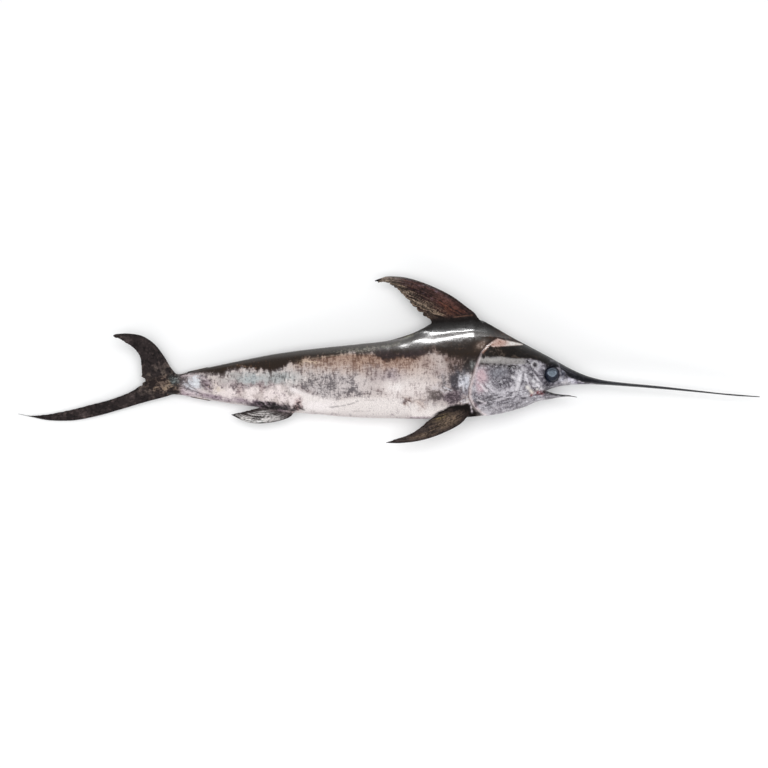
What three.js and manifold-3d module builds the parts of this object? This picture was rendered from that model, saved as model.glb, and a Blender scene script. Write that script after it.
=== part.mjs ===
// Swordfish, life size, lying on its left side as it was caught: mouth slightly open,
// first dorsal fin swept back, right pectoral fin laid back along the belly,
// the tail's lower lobe sunk to the floor and its upper lobe standing clear of it.
// Units are millimetres. +X runs to the head, +Y to the back, +Z up, away from the floor.
// A set of fair curves over X (outline from the side, half width, middle plane) drives the
// body; each fin is a loft between its leading and its trailing edge.
import * as THREE from "three";
import Module from "manifold-3d";

const wasm = await Module();
wasm.setup();
const { Manifold, Mesh } = wasm;

// ---------- driving sizes ----------
const GAP = 0.4; // clearance between neighbouring pieces
const FLOOR = 0; // the level of the resting flat
const SHIFT_X = -0.2, // puts the frame's origin at the middle of the outline
  SHIFT_Y = -0.022;

// Cuts across the body.
const CUT_BILL = 712.6,
  CUT_NECK = 281,
  CUT_MID = -20,
  CUT_REAR = -322,
  CUT_PEDUNCLE = -635;
const TAIL_END = -889,
  BILL_TIP = 1363.8;

// Body curves, each [x, value].
const TOP = [[-889, -80.6], [-844.8, -67.8], [-800.6, -57.5], [-763.8, -53.1], [-675.4, -32.9], [-542.8, -4.7], [-395.5, 23], [-248.6, 41.5], [-102.2, 56.7], [0.1, 68.4], [43.9, 80.4], [87.7, 95.3], [124.2, 112.1], [146.1, 124.9], [164.4, 138.4], [211.8, 150.4], [263, 156.6], [303.1, 159.2], [339.7, 144.2], [456.7, 78.9], [588.4, 9.2], [672.7, -36.8], [731.4, -61.3], [790.1, -75.9], [848.9, -83.6], [996.1, -97.9], [1143.6, -114.4], [1217.5, -122.8], [1291.5, -129.1], [1364, -135.3]];
const BOTTOM = [[-889, -97.1], [-844.8, -113.7], [-800.6, -126.5], [-763.8, -129.5], [-675.4, -144.9], [-561.2, -163.9], [-461.8, -176], [-395.5, -185.8], [-322, -195.6], [-248.6, -201], [-138.8, -210.4], [-10.8, -214.7], [153.4, -215.8], [263, -212.5], [336, -205.2], [409.1, -195.7], [467.6, -182.2], [511.6, -167.6], [540.8, -153], [559.1, -133.6], [575.6, -115.4], [592.1, -107.7], [658, -93.8], [716.7, -90.5], [793.8, -93.1], [885.6, -98.9], [996.1, -107.4], [1143.6, -120.6], [1291.5, -133.8], [1364, -137.5]];
const HALF_WIDTH = [[-889, 6], [-844.8, 14], [-800.6, 21], [-745.4, 25.5], [-675.4, 33], [-561.2, 48], [-432.3, 63], [-322, 74.5], [-193.7, 85], [-65.7, 94], [62.2, 99.5], [189.9, 102], [292.2, 101], [372.6, 96], [445.7, 89], [518.9, 80], [573.8, 70], [614.1, 59.5], [658, 48], [702, 39], [775.4, 32], [922.4, 25], [1106.7, 17], [1254.5, 10], [1328.5, 5.5], [1364, 1.2]];
// Height of the middle plane over the floor.
const MIDDLE = [[-874.3, 40], [-763.8, 43], [-616.6, 47], [-469.1, 57], [-322, 69], [-175.4, 78.5], [-29.1, 86], [116.9, 90], [263, 90.5], [409.1, 88], [555.5, 84], [702, 80], [922.4, 71], [1143.6, 60], [1365.5, 49]];
// Height of the fleshy root that carries the first dorsal fin, over the round of the back.
const HUMP = [[-10.8, 0], [36.6, 3.6], [87.7, 14.6], [124.2, 24.8], [164.4, 43.8], [211.8, 49.3], [263, 49.3], [306.8, 47.4], [339.7, 38.3], [387.2, 23.7], [456.7, 9.1], [526.2, 1.8], [573.8, 0]];
const HUMP_EDGE = 8, // half thickness along its crest
  HUMP_FLARE = 22, // and what it gains by the round of the back
  HUMP_BLEND = 9;
// Where the widest line lies between belly (0) and back (1), and how round the section is there:
// 2 is an ellipse, less gives the bill its sharp side edges.
const WIDEST = [[-889, 0.5], [-500, 0.53], [0, 0.57], [350, 0.57], [560, 0.54], [720, 0.5], [1363.8, 0.5]];
const ROUND = [[-889, 1.9], [-500, 2], [400, 2.1], [600, 2.1], [720, 1.7], [820, 1.35], [1363.8, 1.3]];

// Lower jaw, from inside the head to its tip.
const JAW_TOP = [[453.2, -119], [518.9, -115.4], [573.8, -115.4], [605.2, -123.8], [632.2, -127.8], [657.8, -130], [690.7, -136.9]];
const JAW_BOTTOM = [[453.2, -166.5], [482.4, -172], [511.6, -165.8], [548.2, -152.6], [593.8, -144.6], [631.1, -137.3], [659.3, -135.5], [690.7, -138.8]];
const JAW_HALF_WIDTH = [[453.2, 58], [518.9, 52], [573.8, 42], [603, 32], [628.6, 22], [654.1, 13], [676.1, 7], [690.7, 1.2]];
const JAW_ROOT = 508,
  JAW_TIP = 690.7;
const JAW_LINE = [[575.5, -112.8], [613.5, -113.9], [719.3, -115.4], [719.3, -192], [536.8, -192], [540.4, -161]];

// Gill cover: its free rear edge from the nape to the throat, then its front line back up.
const GILL_EDGE = [[484.4, 52.9], [438.4, 66], [400.7, 66], [356.8, 45.3], [339.8, 26.1], [329.7, -0.3], [319.2, -30.7], [309, -66.3], [298.9, -102.1], [296.3, -132.5], [304.3, -156.8], [324.2, -182.2], [347.8, -197]];
const GILL_FRONT = [[423.9, -174.9], [471, -136.9], [489.1, -89.8], [489.1, -39.1], [478.2, 11.6]];
const COVER_THICKNESS = 8;

// Eyes.
const EYE_X = 595,
  EYE_Y = -54.2,
  EYE_RADIUS = 30,
  EYE_DEPTH_SCALE = 0.82,
  EYE_OUT = 42; // from the middle plane to the eye's centre

// Caudal keels.
const KEEL_X = -735,
  KEEL_HALF_LENGTH = 118,
  KEEL_HALF_THICKNESS = 7.5,
  KEEL_REACH = 49,
  KEEL_SLOPE = 0.03;

// Fins: rows from root to tip, each [leading x, y, trailing x, y, height, thickness].
const DORSAL_FIRST = [[364.9, 96.2, 153.3, 85.3, 97, 22], [322.9, 161.2, 156.2, 140, 97, 15], [286.5, 191.8, 129.6, 158.3, 96, 11], [237.3, 228.4, 98.6, 186.4, 94, 8.5], [183.7, 257, 70.2, 218.7, 91, 6.5], [120.6, 283.5, 42.8, 246.9, 87, 5], [58.6, 300.5, 14.7, 269.4, 83, 3.6], [0.1, 304.7, -18.2, 285.3, 79, 2.4], [-50, 284.7, -50.3, 283.3, 76, 1.2]];
const CAUDAL_UPPER = [[-756.4, -75.1, -881.3, -97.1, 43, 26], [-794.6, -33.3, -900.7, -64.1, 47, 20], [-822.8, 14.7, -904.2, -25.6, 58, 13], [-855.9, 58, -908.3, 10.4, 74, 9.5], [-897.8, 85.8, -924.4, 37.2, 92, 7], [-945.2, 94.1, -953.2, 58.4, 108, 5], [-978.6, 92.8, -980.1, 74.3, 117, 3], [-1000.3, 84.4, -1000.7, 82.9, 121, 1.2]];
const CAUDAL_LOWER = [[-741.8, -115.5, -874.1, -64.1, 42, 26], [-815.9, -136.1, -913.3, -97.2, 36, 20], [-897.7, -157.5, -958.4, -123.7, 28, 14], [-987, -184.1, -1031.2, -149.8, 20, 10], [-1070, -207, -1105.7, -168.7, 14, 7.5], [-1158.1, -223.7, -1180.2, -187.6, 9, 5.5], [-1247.1, -223.8, -1258.1, -201.6, 6, 3.6], [-1312, -212, -1315.7, -206.8, 4, 2.2], [-1364.2, -200.6, -1364.2, -199.4, 3, 1.2]];
const ANAL_FIRST = [[-329.2, -181.3, -453.6, -155.7, 72, 16], [-362.3, -212.1, -472.1, -173.3, 69, 9], [-413.7, -228.2, -488.8, -179.9, 66, 6.5], [-468.7, -234.5, -507.9, -185.8, 64, 5], [-514.6, -229.8, -531.1, -190.9, 62, 3.8], [-547.7, -216.6, -553.2, -196.1, 61, 2.6], [-573.4, -203, -573.8, -201.6, 60, 1.2]];
const PECTORAL_RIGHT = [[316.1, -173.4, 258, -144.3, 128, 26], [289.9, -207.6, 246.4, -169.5, 147, 17], [255.3, -239, 193.8, -190.5, 152, 11], [206.5, -264.5, 154, -213.7, 148, 8], [156, -284.6, 117.2, -247.2, 140, 6], [101.7, -298.3, 78.8, -271.8, 130, 4.4], [43.7, -304.8, 31, -288.8, 119, 3], [-6.9, -304.3, -7.2, -302.8, 110, 1.2]];
const PECTORAL_LEFT = [[318.9, -166.7, 260.3, -137.4, 62, 26], [290.6, -198.2, 250.1, -172.5, 38, 17], [256.3, -229.8, 202.8, -198.5, 20, 11], [206.8, -257.6, 160.7, -226.3, 11, 8], [157.1, -277.2, 123.9, -258.1, 7, 6], [103.6, -292.1, 85.2, -281, 5, 4.4], [50.1, -299.5, 40.9, -295, 4, 3], [11.3, -301, 11.3, -299.9, 3, 1.2]];
const DORSAL_SECOND = [[-645.9, -42.1, -748.7, -67.8, 47, 9], [-653.3, -27.4, -739.5, -46.5, 47, 6], [-675.3, -31.4, -748.8, -48.3, 46.5, 3.5], [-752.5, -49, -752.9, -50.5, 46, 1.2]];
const ANAL_SECOND = [[-638.5, -137.5, -733.9, -119.2, 48, 9], [-645.8, -151.1, -726.6, -137.2, 48, 6], [-668, -147.8, -735.9, -135, 47, 3.5], [-743.3, -134.6, -743.7, -133.1, 46, 1.2]];
const FIN_EDGE = 0.35; // half thickness at a fin's edges

// ---------- colours ----------
const skin = (hex, roughness = 0.38) =>
  new THREE.MeshStandardMaterial({ color: hex, roughness, metalness: 0.0 });
const FLANK = skin(0xb7a9a1, 0.36),
  HEAD = skin(0x8c8988, 0.34),
  BILL = skin(0x3b3231, 0.36),
  PEDUNCLE = skin(0x857a74, 0.36),
  FIN = skin(0x2f2523, 0.42),
  DORSAL = skin(0x5b4440, 0.45),
  EYE = skin(0x20283a, 0.12);

// ---------- curves ----------
// Smooth curve through [x, value] pairs that never swings past its neighbours.
function curve(pairs) {
  const n = pairs.length,
    x = pairs.map((p) => p[0]),
    y = pairs.map((p) => p[1]),
    s = [],
    m = new Array(n);
  for (let i = 0; i < n - 1; i++) s.push((y[i + 1] - y[i]) / (x[i + 1] - x[i]));
  m[0] = s[0];
  m[n - 1] = s[n - 2];
  for (let i = 1; i < n - 1; i++) {
    const a = x[i] - x[i - 1],
      b = x[i + 1] - x[i];
    m[i] = s[i - 1] * s[i] <= 0 ? 0 : (3 * (a + b)) / ((2 * b + a) / s[i - 1] + (b + 2 * a) / s[i]);
  }
  return (v) => {
    if (v <= x[0]) return y[0];
    if (v >= x[n - 1]) return y[n - 1];
    let i = 0;
    while (v > x[i + 1]) i++;
    const h = x[i + 1] - x[i],
      t = (v - x[i]) / h;
    return (
      y[i] * (1 + 2 * t) * (1 - t) ** 2 +
      h * m[i] * t * (1 - t) ** 2 +
      y[i + 1] * t * t * (3 - 2 * t) +
      h * m[i + 1] * t * t * (t - 1)
    );
  };
}
const top = curve(TOP),
  bottom = curve(BOTTOM),
  halfWidth = curve(HALF_WIDTH),
  middle = curve(MIDDLE),
  hump = curve(HUMP),
  widest = curve(WIDEST),
  round = curve(ROUND);

// Half of a section, from the crest of the back to the middle of the belly, as [y, half width].
function halfSection(yTop, yRound, yBottom, w, wideAt, n, segments) {
  const h = yTop - yRound,
    yMid = yBottom + (yRound - yBottom) * wideAt,
    fine = [];
  const body = (y) => {
    if (y >= yRound) return 0;
    const u = y > yMid ? (y - yMid) / (yRound - yMid) : (yMid - y) / (yMid - yBottom);
    return w * Math.sqrt(Math.max(0, 1 - Math.min(1, u) ** n));
  };
  const ridge = (y) => {
    if (h < 0.2) return 0;
    const d = Math.min((yTop - y) / h, 1.6);
    return Math.min(1, h / 15) * (HUMP_EDGE * Math.min(1, Math.sqrt(Math.max(0, d) / 0.12)) + HUMP_FLARE * d ** 1.65);
  };
  const blend = HUMP_BLEND * Math.min(1, Math.max(0, h) / 15);
  const STEPS = 160;
  for (let i = 0; i <= STEPS; i++) {
    const y = yBottom + (yTop - yBottom) * 0.5 * (1 + Math.cos((Math.PI * i) / STEPS)),
      a = body(y),
      b = ridge(y);
    let z = Math.max(a, b);
    if (blend > 0) z = Math.max(a, b) + Math.max(0, blend - Math.abs(a - b)) ** 2 / (4 * blend) * (h > 0.2 && y < yRound ? 1 : 0);
    fine.push([y, i === 0 || i === STEPS ? 0 : z]);
  }
  const run = [0];
  for (let i = 1; i < fine.length; i++) run.push(run[i - 1] + Math.hypot(fine[i][0] - fine[i - 1][0], fine[i][1] - fine[i - 1][1]));
  const out = [];
  for (let k = 0, j = 0; k <= segments; k++) {
    const want = (run[run.length - 1] * k) / segments;
    while (j < run.length - 2 && run[j + 1] < want) j++;
    const t = run[j + 1] > run[j] ? (want - run[j]) / (run[j + 1] - run[j]) : 0;
    out.push([fine[j][0] + (fine[j + 1][0] - fine[j][0]) * t, fine[j][1] + (fine[j + 1][1] - fine[j][1]) * t]);
  }
  return out;
}

// A ring of points round a section; the loft between rings is closed at both ends.
function ring(x, half, zMid) {
  const points = half.map(([y, z]) => [x, y, zMid + z]);
  for (let i = half.length - 2; i > 0; i--) points.push([x, half[i][0], zMid - half[i][1]]);
  return points;
}
function loft(rings) {
  const n = rings[0].length,
    vertices = rings.flat(),
    faces = [];
  const centre = (r) => r.reduce((a, p) => [a[0] + p[0] / n, a[1] + p[1] / n, a[2] + p[2] / n], [0, 0, 0]);
  for (let i = 0; i < rings.length - 1; i++)
    for (let j = 0; j < n; j++) {
      const a = i * n + j,
        b = i * n + ((j + 1) % n);
      faces.push([a, b, b + n], [a, b + n, a + n]);
    }
  const first = vertices.push(centre(rings[0])) - 1,
    last = vertices.push(centre(rings[rings.length - 1])) - 1,
    base = (rings.length - 1) * n;
  for (let j = 0; j < n; j++) {
    faces.push([first, (j + 1) % n, j]);
    faces.push([last, base + j, base + ((j + 1) % n)]);
  }
  return solid(vertices, faces);
}
function solid(vertices, faces) {
  const make = (f) =>
    new Manifold(new Mesh({ numProp: 3, vertProperties: new Float32Array(vertices.flat()), triVerts: new Uint32Array(f.flat()) }));
  const made = make(faces);
  return made.volume() >= 0 ? made : make(faces.map(([a, b, c]) => [a, c, b]));
}
// Any three.js geometry as a solid.
function fromGeometry(geometry) {
  const g = geometry.index ? geometry.toNonIndexed() : geometry,
    p = g.getAttribute("position"),
    seen = new Map(),
    vertices = [],
    faces = [];
  for (let i = 0; i < p.count; i += 3) {
    const f = [];
    for (let k = 0; k < 3; k++) {
      const v = [p.getX(i + k), p.getY(i + k), p.getZ(i + k)],
        key = v.map((c) => Math.round(c * 1e4)).join();
      if (!seen.has(key)) seen.set(key, vertices.push(v) - 1);
      f.push(seen.get(key));
    }
    if (f[0] !== f[1] && f[1] !== f[2] && f[2] !== f[0]) faces.push(f);
  }
  return solid(vertices, faces);
}
const box = (x0, x1, y0, y1, z0, z1) =>
  fromGeometry(new THREE.BoxGeometry(x1 - x0, y1 - y0, z1 - z0).translate((x0 + x1) / 2, (y0 + y1) / 2, (z0 + z1) / 2));
const largest = (s) => s.decompose().reduce((a, b) => (b.volume() > a.volume() ? b : a));

// ---------- body ----------
const SEGMENTS = 12; // per side of a section
function stations(x0, x1) {
  const list = [x0],
    pace = (x) => (x < -560 ? 38 : x < 60 ? 58 : x < 300 ? 32 : x < 470 ? 29 : x < 720 ? 20 : x < 900 ? 48 : 100);
  while (list[list.length - 1] + pace(list[list.length - 1]) * 1.4 < x1) list.push(list[list.length - 1] + pace(list[list.length - 1]));
  list.push(x1);
  return list;
}
function bodySolid(grow = 0, from = TAIL_END, to = BILL_TIP) {
  return loft(
    stations(from, to).map((x) =>
      ring(
        x + (x === TAIL_END ? -grow : x === BILL_TIP ? grow : 0),
        halfSection(top(x) + grow, top(x) - hump(x) + grow, bottom(x) - grow, halfWidth(x) + grow, widest(x), round(x), SEGMENTS),
        middle(x),
      ),
    ),
  );
}
const jawTop = curve(JAW_TOP),
  jawBottom = curve(JAW_BOTTOM),
  jawHalfWidth = curve(JAW_HALF_WIDTH);
function jawSolid() {
  const list = [];
  for (let i = 0; i <= 8; i++) list.push(JAW_ROOT + ((JAW_TIP - JAW_ROOT) * i) / 8);
  return loft(list.map((x) => ring(x, halfSection(jawTop(x), jawTop(x), jawBottom(x), jawHalfWidth(x), 0.5, 2, 7), middle(x))));
}

// Prism over a closed outline in plan, moved out by grow.
function prism(points, grow, z0, z1) {
  const n = points.length,
    area = points.reduce((a, p, i) => a + p[0] * points[(i + 1) % n][1] - points[(i + 1) % n][0] * p[1], 0),
    sign = area > 0 ? 1 : -1;
  const moved = points.map((p, i) => {
    const a = points[(i + n - 1) % n],
      b = points[(i + 1) % n],
      n1 = new THREE.Vector2(p[1] - a[1], a[0] - p[0]).normalize(),
      n2 = new THREE.Vector2(b[1] - p[1], p[0] - b[0]).normalize(),
      m = n1.clone().add(n2).normalize(),
      k = (sign * grow) / Math.max(0.35, m.dot(n1));
    return new THREE.Vector2(p[0] + m.x * k, p[1] + m.y * k);
  });
  return fromGeometry(new THREE.ExtrudeGeometry(new THREE.Shape(moved), { depth: z1 - z0, bevelEnabled: false }).translate(0, 0, z0));
}

// ---------- fins ----------
function finSolid(rows, grow = 0, along = 12, across = 5) {
  const spline = (k) => {
    const v = rows.map((r) => r[k]);
    return (t) => {
      const f = t * (v.length - 1),
        i = Math.min(v.length - 2, Math.floor(f)),
        s = f - i,
        p0 = v[Math.max(0, i - 1)],
        p1 = v[i],
        p2 = v[i + 1],
        p3 = v[Math.min(v.length - 1, i + 2)];
      return 0.5 * (2 * p1 + (p2 - p0) * s + (2 * p0 - 5 * p1 + 4 * p2 - p3) * s * s + (3 * p1 - p0 - 3 * p2 + p3) * s ** 3);
    };
  };
  const [lx, ly, tx, ty, zz, tt] = [0, 1, 2, 3, 4, 5].map(spline);
  const rings = [];
  for (let i = 0; i <= along; i++) {
    const t = i / along,
      chord = Math.hypot(tx(t) - lx(t), ty(t) - ly(t)),
      up = [],
      down = [];
    for (let j = 0; j <= across; j++) {
      const e = j / across,
        u = 0.5 - 0.5 * Math.cos(Math.PI * e),
        s = u + (grow / Math.max(1, chord)) * (2 * u - 1),
        half = FIN_EDGE + Math.max(0, Math.max(1.2, tt(t)) / 2 - FIN_EDGE) * Math.min(1, 1.35 * Math.sqrt(u * (1 - u) * (1.6 - 1.1 * u))) + grow,
        x = lx(t) + (tx(t) - lx(t)) * s,
        y = ly(t) + (ty(t) - ly(t)) * s,
        z = Math.max(zz(t), FLOOR + half);
      up.push([x, y, z + half]);
      down.unshift([x, y, z - half]);
    }
    rings.push([...up, ...down]);
  }
  return loft(rings);
}

// ---------- assembly ----------
const above = box(-1500, 1500, -500, 500, FLOOR, 400);
const slice = (s, x0, x1) => s.intersect(box(x0 + GAP / 2, x1 - GAP / 2, -500, 500, -200, 400));
const whole = bodySolid().add(jawSolid()).intersect(above);
const wholeGrown = bodySolid(GAP);

const eyeball = (side, grow) =>
  fromGeometry(
    new THREE.SphereGeometry(EYE_RADIUS + grow, 15, 9)
      .rotateX(Math.PI / 2)
      .scale(1, 1, EYE_DEPTH_SCALE)
      .translate(EYE_X, EYE_Y, middle(EYE_X) + side * EYE_OUT),
  );
const outline = [...GILL_EDGE, ...GILL_FRONT];
const coverSolid = (side, grow) => {
  const zMid = middle(400),
    z0 = side > 0 ? zMid + 22 : zMid - 220,
    z1 = side > 0 ? zMid + 220 : zMid - 22;
  return prism(outline, grow, z0, z1).subtract(bodySolid(-COVER_THICKNESS - grow, CUT_NECK - 25, 560));
};

const pieces = [];
const add = (name, s, material) => pieces.push([name, largest(s), material]);

let head = slice(whole, CUT_NECK, CUT_BILL);
const jawPrism = (grow) => prism(JAW_LINE, grow, -50, 300);
for (const [side, name] of [[1, "right"], [-1, "left"]]) {
  add("eye_" + name, eyeball(side, 0), EYE);
  add("gill_cover_" + name, head.intersect(coverSolid(side, 0)), HEAD);
}
add("lower_jaw", head.intersect(jawPrism(0)), HEAD);
head = head.subtract(jawPrism(GAP));
for (const side of [1, -1]) head = head.subtract(eyeball(side, GAP)).subtract(coverSolid(side, GAP));
add("head", head, HEAD);
add("bill", slice(whole, CUT_BILL, BILL_TIP + 10), BILL);
add("trunk_front", slice(whole, CUT_MID, CUT_NECK), FLANK);
add("trunk_mid", slice(whole, CUT_REAR, CUT_MID), FLANK);
add("trunk_rear", slice(whole, CUT_PEDUNCLE, CUT_REAR), FLANK);
add("caudal_peduncle", slice(whole, TAIL_END - 10, CUT_PEDUNCLE), PEDUNCLE);

const keel = (side, grow) =>
  fromGeometry(
    new THREE.SphereGeometry(1, 18, 8)
      .rotateX(Math.PI / 2)
      .scale(KEEL_HALF_LENGTH + grow, KEEL_HALF_THICKNESS + grow, KEEL_REACH + grow)
      .translate(KEEL_X, (top(KEEL_X) + bottom(KEEL_X)) / 2, middle(KEEL_X)),
  ).intersect(side > 0 ? box(-1500, 0, -500, 500, middle(KEEL_X), 400) : box(-1500, 0, -500, 500, -200, middle(KEEL_X)));
for (const [side, name] of [[1, "right"], [-1, "left"]]) add("keel_" + name, keel(side, 0).subtract(wholeGrown).intersect(above), PEDUNCLE);

const keels = keel(1, GAP).add(keel(-1, GAP));
add("caudal_fin_upper", finSolid(CAUDAL_UPPER).subtract(wholeGrown).subtract(keels), FIN);
add("caudal_fin_lower", finSolid(CAUDAL_LOWER, 0, 16).subtract(wholeGrown).subtract(keels).subtract(finSolid(CAUDAL_UPPER, GAP)), FIN);
add("dorsal_fin_first", finSolid(DORSAL_FIRST, 0, 16, 6).subtract(wholeGrown), DORSAL);
add("anal_fin_first", finSolid(ANAL_FIRST).subtract(wholeGrown), FIN);
add("pectoral_fin_right", finSolid(PECTORAL_RIGHT, 0, 14).subtract(wholeGrown), FIN);
add("pectoral_fin_left", finSolid(PECTORAL_LEFT, 0, 14).subtract(wholeGrown), FIN);
add("dorsal_fin_second", finSolid(DORSAL_SECOND, 0, 7, 4).subtract(wholeGrown), FIN);
add("anal_fin_second", finSolid(ANAL_SECOND, 0, 7, 4).subtract(wholeGrown), FIN);

const swordfish = new THREE.Group();
swordfish.name = "swordfish";
for (const [name, s, material] of pieces) {
  const m = s.getMesh(),
    n = m.numProp,
    position = new Float32Array(m.numVert * 3);
  for (let i = 0; i < m.numVert; i++) {
    position[3 * i] = m.vertProperties[n * i] - SHIFT_X;
    position[3 * i + 1] = m.vertProperties[n * i + 1] - SHIFT_Y;
    position[3 * i + 2] = m.vertProperties[n * i + 2];
  }
  const geometry = new THREE.BufferGeometry()
    .setAttribute("position", new THREE.BufferAttribute(position, 3))
    .setIndex(new THREE.BufferAttribute(new Uint32Array(m.triVerts), 1));
  geometry.computeVertexNormals();
  const mesh = new THREE.Mesh(geometry, material);
  mesh.name = name;
  swordfish.add(mesh);
}

export default swordfish;
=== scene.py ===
import math

import bpy
import numpy as np
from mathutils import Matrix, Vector
from mathutils.kdtree import KDTree


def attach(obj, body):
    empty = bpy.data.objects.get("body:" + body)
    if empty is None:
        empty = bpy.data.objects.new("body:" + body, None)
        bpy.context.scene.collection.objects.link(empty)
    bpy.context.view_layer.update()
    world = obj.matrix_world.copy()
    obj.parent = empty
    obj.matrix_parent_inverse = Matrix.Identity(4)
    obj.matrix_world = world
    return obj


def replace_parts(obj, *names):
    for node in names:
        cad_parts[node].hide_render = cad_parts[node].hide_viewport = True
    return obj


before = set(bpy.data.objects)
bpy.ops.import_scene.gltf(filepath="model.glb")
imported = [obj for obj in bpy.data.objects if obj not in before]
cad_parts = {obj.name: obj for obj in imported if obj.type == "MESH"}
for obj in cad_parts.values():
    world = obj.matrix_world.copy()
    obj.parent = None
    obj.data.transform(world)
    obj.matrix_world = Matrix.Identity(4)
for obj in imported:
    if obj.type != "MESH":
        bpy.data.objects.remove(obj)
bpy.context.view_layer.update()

scene = bpy.context.scene
RES = 1.0

# ------------------------------------------------------------------ sizes, millimetres
SHIFT = np.array([0.2, 0.022, 0.0])
TOP = [[-889, -80.6], [-844.8, -67.8], [-800.6, -57.5], [-763.8, -53.1], [-675.4, -32.9], [-542.8, -4.7], [-395.5, 23], [-248.6, 41.5], [-102.1, 56.6], [0.1, 68.3], [44, 80.3], [87.8, 95.2], [124.4, 112], [146.3, 124.8], [164.6, 138.3], [212, 150.4], [263, 156.6], [303.2, 159.1], [339.8, 144.1], [456.7, 78.8], [588.5, 9.1], [672.6, -36.9], [731.2, -61.4], [789.9, -76], [848.7, -83.7], [995.9, -97.9], [1143.5, -114.4], [1217.2, -122.9], [1290.9, -129.2], [1363.8, -135.4]]
BOTTOM = [[-889, -97.1], [-844.8, -113.7], [-800.6, -126.5], [-763.8, -129.5], [-675.4, -144.9], [-561.2, -163.9], [-461.8, -176], [-395.5, -185.8], [-322, -195.6], [-248.6, -201.1], [-138.8, -210.5], [-10.9, -214.8], [153.6, -215.9], [263, -212.6], [336.1, -205.3], [409.2, -195.8], [467.7, -182.2], [511.6, -167.7], [540.9, -153.1], [559.2, -133.7], [575.6, -115.5], [592.1, -107.8], [657.9, -93.8], [716.6, -90.6], [793.6, -93.2], [885.4, -99.2], [995.9, -107.7], [1143.5, -121], [1290.9, -134.5], [1363.8, -138.2]]
HALF_WIDTH = [[-889, 6], [-844.8, 14], [-800.6, 21], [-745.4, 25.5], [-675.4, 33], [-561.2, 48], [-432.3, 63], [-322, 74.5], [-193.7, 85], [-65.6, 94], [62.2, 99.5], [190, 102], [292.3, 101], [372.7, 96], [445.7, 89], [518.9, 80], [573.8, 70], [614, 59.5], [657.9, 48], [701.9, 39], [775.2, 32], [922.2, 25], [1106.6, 17], [1254.2, 10], [1328.3, 5.5], [1363.8, 1.2]]
MIDDLE = [[-874.3, 40], [-763.8, 43], [-616.5, 47], [-469, 57], [-322, 69], [-175.4, 78.5], [-29.1, 86], [117, 90], [263, 90.5], [409.2, 88], [555.4, 84], [701.9, 80], [922.2, 71], [1143.5, 60], [1365.3, 49]]
HUMP = [[-10.9, 0], [36.6, 3.6], [87.8, 14.6], [124.4, 24.8], [164.6, 43.8], [212, 49.3], [263, 49.3], [306.9, 47.4], [339.8, 38.3], [387.3, 23.7], [456.7, 9.1], [526.2, 1.8], [573.8, 0]]
WIDEST = [[-889, 0.5], [-500, 0.53], [0, 0.57], [350, 0.57], [560, 0.54], [720, 0.5], [1363.8, 0.5]]
ROUND = [[-889, 1.9], [-500, 2], [400, 2.1], [600, 2.1], [720, 1.7], [820, 1.35], [1363.8, 1.3]]
HUMP_EDGE, HUMP_FLARE, HUMP_BLEND = 8.0, 22.0, 9.0
JAW_TOP = [[453.2, -119], [518.9, -115.4], [573.8, -115.4], [605.2, -123.8], [632.1, -127.9], [657.7, -130.1], [690.7, -137]]
JAW_BOTTOM = [[453.2, -166.6], [482.4, -172.1], [511.6, -165.9], [548.2, -152.7], [593.9, -144.7], [631.2, -137.4], [659.2, -135.6], [690.7, -138.8]]
JAW_HALF_WIDTH = [[453.2, 58], [518.9, 52], [573.8, 42], [603, 32], [628.5, 22], [654.1, 13], [676, 7], [690.7, 1.2]]
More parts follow.
